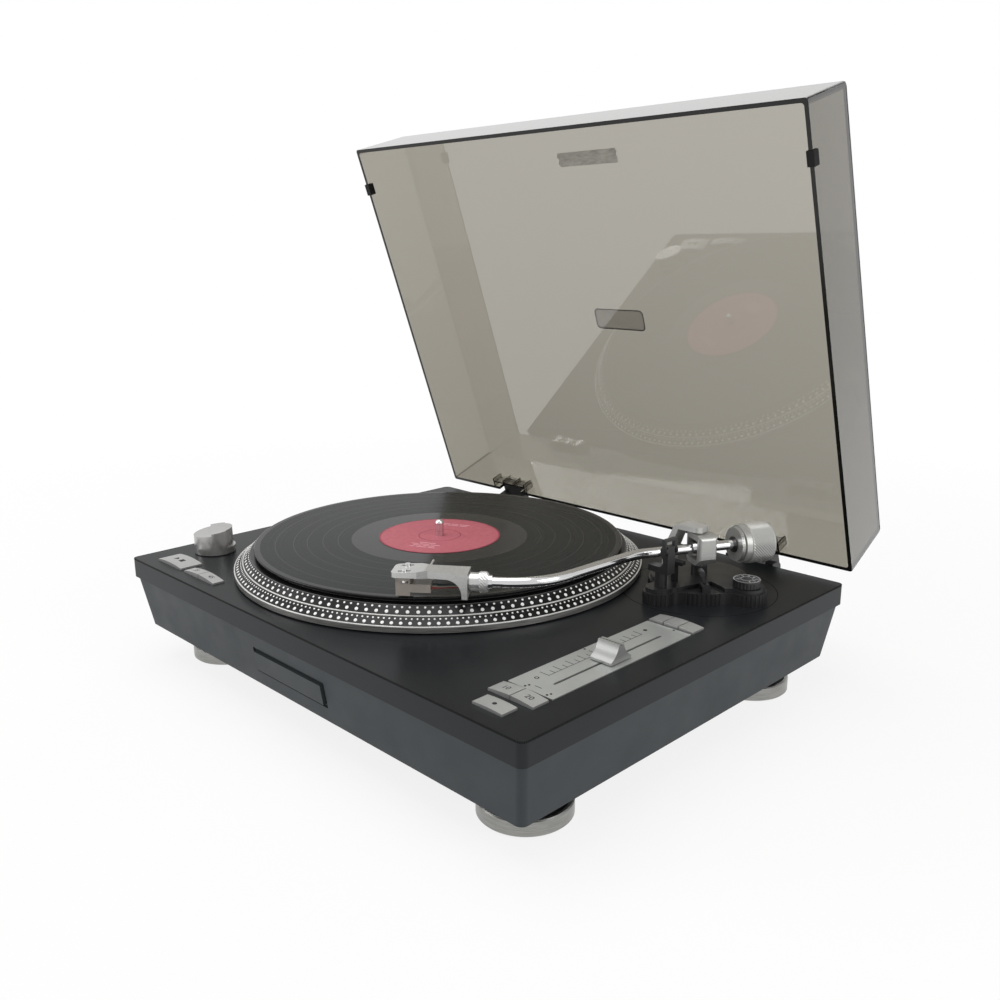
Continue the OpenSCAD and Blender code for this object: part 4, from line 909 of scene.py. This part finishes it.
def knurl(name, node, origin, axis, body, material, height=0.4, inset=0.15):
    """A diamond knurl wrapped round the widest band of a turned node."""
    start, end, radius = spread_of(node, origin, axis)
    start += inset
    end -= inset
    ways = spokes(axis, 2 * int(math.pi * radius / KNURL_PITCH))
    rows = max(3, int((end - start) / KNURL_PITCH))

    def centre(row):
        return origin + axis * ((start + (end - start) * row / rows) * MM)

    verts = []
    for row in range(rows + 1):
        for step, way in enumerate(ways):
            tooth = height * ((row + step) % 2) if 0 < row < rows else 0.0
            verts.append(centre(row) + way * ((radius + HAIR + tooth) * MM))
    for row in (rows, 0):
        verts += [centre(row) + way * ((radius - KNURL_ROOT) * MM) for way in ways]
    shape = (verts, ring_faces(rows + 3, len(ways)))
    return piece(name, shape, body, [material], smooth=False)


knurl("counterweight_knurl", "counterweight", pivot, shaft_back, "weight", weight_silver)
knurl("collar_knurl", "lock_collar", head, -head_forward, "collar", collar_silver, 0.2, 0.1)

# Force dial: ticks round its rim
DIAL_TICKS = 40
TICK_WIDE = 0.32
TICK_START = 0.3
dial_start, _, dial_r = spread_of("force_dial", pivot, shaft_back)
shapes = []
for i, out in enumerate(spokes(shaft_back, DIAL_TICKS)):
    length = 1.2 if i % 5 else 2.1
    face = pivot + out * ((dial_r + 0.01) * MM) + shaft_back * (dial_start * MM)
    tick = bar(0.0, TICK_START + length / 2, TICK_WIDE, length)
    shapes.append(plate(tick, face, out.cross(shaft_back), shaft_back, 0.04))
piece("force_dial_ticks", joined(shapes), "dial", [ink], smooth=False)

# Anti-skate knob: a plain scale on its top
knob_low, knob_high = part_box("anti_skate_knob")
knob_top = box_middle(knob_low, knob_high, knob_high.z)
SKATE_START = 225


def skate_ways(count, step):
    """Directions on the knob's top, clockwise from the start of its scale, a step in degrees apart."""
    turns = [math.radians(SKATE_START - step * i) for i in range(count)]
    return [Vector((math.cos(turn), math.sin(turn), 0)) for turn in turns]


shapes = [printed(str(i), 2.6, knob_top + out * (6.4 * MM), out.cross(UP), out)
          for i, out in enumerate(skate_ways(8, 38))]
shapes += [plate(bar(0, 0, 0.25, 0.9), knob_top + out * (8.8 * MM), out.cross(UP), out)
           for out in skate_ways(29, 9.5)]
shapes += [lathe(knob_top, UP, oblong(r - 0.15, r + 0.15, 0.0, INK_THICK), 48) for r in (4.4, 9.5)]
piece("anti_skate_scale", joined(shapes), "skate_knob", [pale_ink], smooth=False)

# Pitch panel: ticks, end marks and lamps
panel_low, panel_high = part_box("pitch_panel")
panel_face = Vector((panel_low.x, panel_low.y, panel_high.z))
panel_w = (panel_high.x - panel_low.x) / MM
panel_d = (panel_high.y - panel_low.y) / MM
scale_middle = panel_d / 2
SCALE_X = 12.6
SCALE_REACH = 46.0
SCALE_STEPS = 8
SCALE_LINE = 0.5
END_MARK_X = SCALE_X - 3.0
END_MARK_GAP = 7.5
LAMPS = ((12.6, 2.0), (13.4, 4.6), (30.2, 2.0), (31.0, 4.6), (1.6, scale_middle), (23.6, panel_d - 2.0))
outlines = []
for i in range(-SCALE_STEPS, SCALE_STEPS + 1):
    length = 4.6 if i % 2 else 7.4
    tick_y = scale_middle + SCALE_REACH * i / SCALE_STEPS
    outlines.append(bar(SCALE_X - length / 2, tick_y, length, SCALE_LINE))
outlines.append(bar(SCALE_X, scale_middle, 0.4, 2 * SCALE_REACH + SCALE_LINE))
outlines.append(spot(END_MARK_X, scale_middle + SCALE_REACH + END_MARK_GAP, 1.5))
outlines.append(bar(panel_w / 2 + 1.0, 6.4, 5.4, SCALE_LINE))
shapes = [plate(outline, panel_face, X, Y) for outline in outlines]
end_ring = panel_face + (X * END_MARK_X + Y * (scale_middle - SCALE_REACH - END_MARK_GAP)) * MM
shapes.append(lathe(end_ring, UP, oblong(0.9, 1.6, 0.0, INK_THICK), 24))
piece("pitch_scale", joined(shapes), "chassis", [ink], smooth=False)
shapes = [plate(spot(x, y, 0.8), panel_face, X, Y, 0.15) for x, y in LAMPS]
piece("panel_lamps", joined(shapes), "chassis", [lamp_dark], smooth=False)

# Key marks: plain numbers and plain shapes, curved with the key tops
ROW_ENDS = {"start": ("start_key",), "speed": ("speed_key_33", "speed_key_45"), "quartz": ("quartz_key",),
            "range": ("range_key_left", "range_key_right"), "rear": ("rear_key_left", "rear_key_right")}
KEY_MARKS = {
    "start_key": [[(-6.2, -2.6), (-6.2, 2.6), (-1.7, 0.0)], bar(3.9, 0.0, 4.6, 4.6)],
    "quartz_key": [spot(0.0, 0.0, 1.5)],
    "rear_key_left": [[(-1.7, -1.4), (1.7, -1.4), (0.0, 1.5)]],
    "rear_key_middle": [bar(0.0, 0.0, 3.0, 2.8)],
    "rear_key_right": [spot(0.0, 0.0, 1.6)],
}
KEY_NUMBERS = {"speed_key_33": "33", "speed_key_45": "45", "range_key_left": "10", "range_key_right": "20"}
KEY_DIGIT_TALL = 4.2


def key_top(node):
    """The middle of a key at the top of its row's end keys, and the drop away from the row's middle."""
    low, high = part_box(node)
    ends = [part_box(end) for end in ROW_ENDS[node.split("_")[0]]]
    crown_x = (ends[0][0].x + ends[-1][1].x) / 2
    middle = box_middle(low, high, max(box[1].z for box in ends))
    offset = (middle.x - crown_x) / MM
    return middle, lambda x, y: -((x + offset) ** 2) / (2 * KEY_ARCH_R) + HAIR


def key_mark(node, shape):
    """A mark that rides on its key."""
    piece(node + "_mark", shape, node, [ink], smooth=False)


for node, outlines in KEY_MARKS.items():
    middle, lift = key_top(node)
    key_mark(node, joined([plate(outline, middle, X, Y, INK_THICK, lift) for outline in outlines]))
for node, text in KEY_NUMBERS.items():
    middle, lift = key_top(node)
    key_mark(node, printed(text, KEY_DIGIT_TALL, middle, X, Y, lift))

# Cover: a bare strip of old tape inside its panel
cover = nodes["lid_cover"].data
TAPE_RIGHT = 0.4
TAPE_UP = 325.9
TAPE_HALF = 30.8
TAPE_THICK = 0.12


def cover_point(x, s, h):
    """A point of the cover from its hinge: across, up the panel and outwards."""
    return hinge + X * x + panel_up * s + panel_out * h


inner_face = max((p for p in cover.polygons if p.normal.dot(panel_in) > FACING), key=lambda p: p.area)
inner_level = (inner_face.center - hinge).dot(panel_in) + HAIR * MM
tape_middle = cover_point(TAPE_RIGHT * MM, TAPE_UP * MM, -inner_level)
torn = [(-TAPE_HALF, -5.6), (TAPE_HALF - 1.0, -5.8), (TAPE_HALF + 0.8, -3.0), (TAPE_HALF - 0.4, 0.0),
        (TAPE_HALF + 1.2, 2.2), (TAPE_HALF + 0.2, 5.6), (-TAPE_HALF + 0.8, 5.9), (-TAPE_HALF - 0.7, 3.4),
        (-TAPE_HALF + 0.5, 1.0), (-TAPE_HALF - 0.6, -2.4)]
tape = plate(torn, tape_middle, -X, panel_up, TAPE_THICK)
piece("cover_tape", tape, "dust_cover", [aged_tape()], smooth=False)

# Cover: dark cut edges, dark lines along its outer corners, and a bare plate in its badge recess
RIB_REACH = 40
LINE_SINK = 0.2
LINE_R = 0.45


def cover_trim(name, shape, material, smooth=False):
    """Trim that rides on the cover."""
    piece(name, shape, "dust_cover", [material], smooth=smooth)


rim_level, top_level = extent([v.co for v in cover.vertices], panel_out)
cover_trim("cover_rim", skin("lid_cover", panel_in, -rim_level, PROUD), acrylic_edge)
rib_level = max(p.center.dot(panel_up) for p in cover.polygons
                if p.normal.dot(panel_up) > FACING and (p.center - hinge).dot(panel_up) < RIB_REACH * MM)
cover_trim("pocket_rib_edges", skin("lid_cover", panel_up, rib_level, PROUD), acrylic_edge)

from_hinge = [v.co - hinge for v in cover.vertices]
low_x, high_x = extent(from_hinge, X)
low_s, high_s = extent(from_hinge, panel_up)
low_h, high_h = extent(from_hinge, panel_out)
inset = EDGE_INSET * MM
far_in = (COVER_TAPER + EDGE_INSET) * MM
line_in = (COVER_TAPER + LINE_SINK) * MM
line_h = high_h - LINE_SINK * MM
panel_s = (low_s + far_in, high_s - far_in)
shapes = []
for x in (low_x + line_in, high_x - line_in):
    ends = [cover_point(x, s, line_h) for s in (panel_s[0] + 2 * MM, panel_s[1] - 2 * MM)]
    shapes.append(rod(*ends, LINE_R))
for rim_x, panel_x in ((low_x + inset, low_x + far_in), (high_x - inset, high_x - far_in)):
    for rim_s, s in zip((low_s + inset, high_s - inset), panel_s):
        foot = cover_point(rim_x, rim_s, low_h + 0.3 * MM)
        shapes.append(rod(foot, cover_point(panel_x, s, line_h), LINE_R))
cover_trim("cover_edge_lines", joined(shapes), acrylic_edge, smooth=True)

badge = skin("lid_cover", panel_out, top_level - BADGE_DEEP * MM, 0.5)
cover_trim("cover_badge", badge, badge_film())
badge_middle = sum(badge[0], Vector()) / len(badge[0])
badge_middle += panel_out * (top_level - badge_middle.dot(panel_out) - 0.25 * MM)
outline = band(badge_middle, X, panel_up, BADGE_SIZE, BADGE_R, oblong(0.05, 1.0, -0.05, 0.1))
cover_trim("badge_outline", outline, acrylic_edge)


def deck_trim(name, shape):
    """A dark line that rides on the case; along the deck's top edge it is painted shade."""
    piece(name, shape, "chassis", [edge_shade_and_seam_paint], smooth=False)


# Deck: painted shade, a dark line over its top edge
deck_middle = box_middle(deck_low, deck_high, deck_top)
deck_size = ((deck_high.x - deck_low.x) / MM, (deck_high.y - deck_low.y) / MM)
edge_shade_profile = [(-PROUD, -EDGE_LINE), (-PROUD, PROUD), (EDGE_LINE, PROUD), (EDGE_LINE, -0.05), (0.1, -0.05),
        (0.1, -EDGE_LINE)]
deck_trim("deck_edge_line", band(deck_middle, X, Y, deck_size, DECK_CORNER_R, edge_shade_profile))

# Arm base: the dark seam round its disc
disc_low, disc_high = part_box("arm_base_disc")
seam = oblong(SEAM_R - SEAM_HALF, SEAM_R + SEAM_HALF, -0.05, PROUD)
deck_trim("arm_base_seam", lathe(box_middle(disc_low, disc_high, deck_top), UP, seam, 160))

# Rear jacks: coloured insulators
INSULATOR = ((1.6, 3.4), (3.3, 3.4), (3.3, 4.3), (2.9, 4.6), (1.6, 4.6))
mounts = {mount["name"]: mount for mount in frame["record"]["mounts"]}
for name, material in (("left", jack_white), ("right", jack_red)):
    middle = Vector(mounts["line_out_" + name]["pos_m"])
    piece("jack_insulator_" + name, lathe(middle, Y, INSULATOR, 32), "chassis", [material])

# Studio levels, and the floor's size and shadow in metres
WORLD_LIGHT = 0.42
MIRRORED = 0.66
FLOOR_NEAR = 0.84
FLOOR_HALF = 6.0
SHADOW_FADE = (0.45, 1.1)

# Camera, at the photograph's viewing angle
AZIMUTH = math.radians(45.4)
ELEVATION = math.radians(14.4)
ROLL = math.radians(-0.3)
LENS_MM = 35.54
SENSOR_MM = 36.0
CAMERA_DECK_MM = (784.1, -336.9, 252.5)
right = Vector((math.cos(AZIMUTH), math.sin(AZIMUTH), 0))
level_back = Vector((math.sin(AZIMUTH), -math.cos(AZIMUTH), 0))
back = level_back * math.cos(ELEVATION) + UP * math.sin(ELEVATION)
up = back.cross(right)
turned_right = right * math.cos(ROLL) + up * math.sin(ROLL)
turned_up = up * math.cos(ROLL) - right * math.sin(ROLL)
camera_data = bpy.data.cameras.new("camera")
camera_data.sensor_fit = "HORIZONTAL"
camera_data.sensor_width = SENSOR_MM
camera_data.lens = LENS_MM
camera_data.clip_start = 0.01
camera_data.clip_end = 50
camera = placed("camera", camera_data)
pose = Matrix((turned_right, turned_up, back)).transposed().to_4x4()
pose.translation = on_deck(*CAMERA_DECK_MM)
camera.matrix_world = pose
bpy.context.scene.camera = camera


def studio_white(tree, seen, mirrored):
    """How much plain white a ray gets: what the camera and glass see, and what gloss mirrors."""
    rays = tree.nodes.new("ShaderNodeLightPath").outputs
    direct = calculated(tree, "MAXIMUM", rays["Is Camera Ray"], rays["Is Transmission Ray"])
    gloss = calculated(tree, "MULTIPLY", rays["Is Glossy Ray"], mirrored)
    return calculated(tree, "MAXIMUM", calculated(tree, "MULTIPLY", direct, seen), gloss)


# Floor: white where it is seen, with the object's shadow near the object
floor_mesh = bpy.data.meshes.new("floor")
corners = [(x, y, 0) for x, y in oblong(-FLOOR_HALF, FLOOR_HALF, -FLOOR_HALF, FLOOR_HALF)]
floor_mesh.from_pydata(corners, [], [(0, 1, 2, 3)])
floor = placed("floor", floor_mesh)
floor_look = Finish("pale_floor", 0.9, specular=0.0)
paper = floor_look.noise(3.0)
floor_look.colour(floor_look.ramp(paper, [(0.3, (0.91, 0.91, 0.91, 1)), (0.7, (0.94, 0.94, 0.94, 1))]))
white = floor_look.add("ShaderNodeEmission")
white.inputs["Strength"].default_value = 1.0
spread = floor_look.between(floor_look.radius((0, 0, 0)), FLOOR_NEAR, 1.0, *SHADOW_FADE)
choice = floor_look.add("ShaderNodeMixShader")
floor_look.put(studio_white(floor_look.tree, spread, MIRRORED), choice.inputs[0])
floor_look.put(floor_look.shader.outputs[0], choice.inputs[1])
floor_look.put(white.outputs[0], choice.inputs[2])
floor_look.put(choice.outputs[0], floor_look.output.inputs["Surface"])
floor_mesh.materials.append(floor_look.material)

# World: white where it is seen, softer as light
world = bpy.data.worlds.new("studio")
bpy.context.scene.world = world
world.use_nodes = True
backdrop = world.node_tree.nodes["Background"]
backdrop.inputs["Color"].default_value = (1, 1, 1, 1)
strength = world.node_tree.nodes.new("ShaderNodeMapRange")
world.node_tree.links.new(studio_white(world.node_tree, 1.0, MIRRORED), strength.inputs["Value"])
strength.inputs["To Min"].default_value = WORLD_LIGHT
strength.inputs["To Max"].default_value = 1.0
world.node_tree.links.new(strength.outputs["Result"], backdrop.inputs["Strength"])


def soft_box(name, place, aim, size, watts):
    """A square studio lamp."""
    data = bpy.data.lights.new(name, "AREA")
    data.shape = "RECTANGLE"
    data.size = size[0]
    data.size_y = size[1]
    data.energy = watts
    lamp = placed(name, data)
    lamp.location = place
    lamp.rotation_euler = (Vector(aim) - Vector(place)).to_track_quat("-Z", "Y").to_euler()
    return lamp


MIDDLE = (0.0, 0.0, 0.12)
soft_box("top_light", (-0.2, -0.3, 2.0), MIDDLE, (2.2, 1.6), 24)
soft_box("front_left_light", (-1.4, -1.5, 0.9), MIDDLE, (1.0, 1.0), 10)
soft_box("right_light", (1.7, 0.1, 0.8), MIDDLE, (0.8, 1.0), 7)

bpy.context.scene.view_settings.view_transform = "Standard"
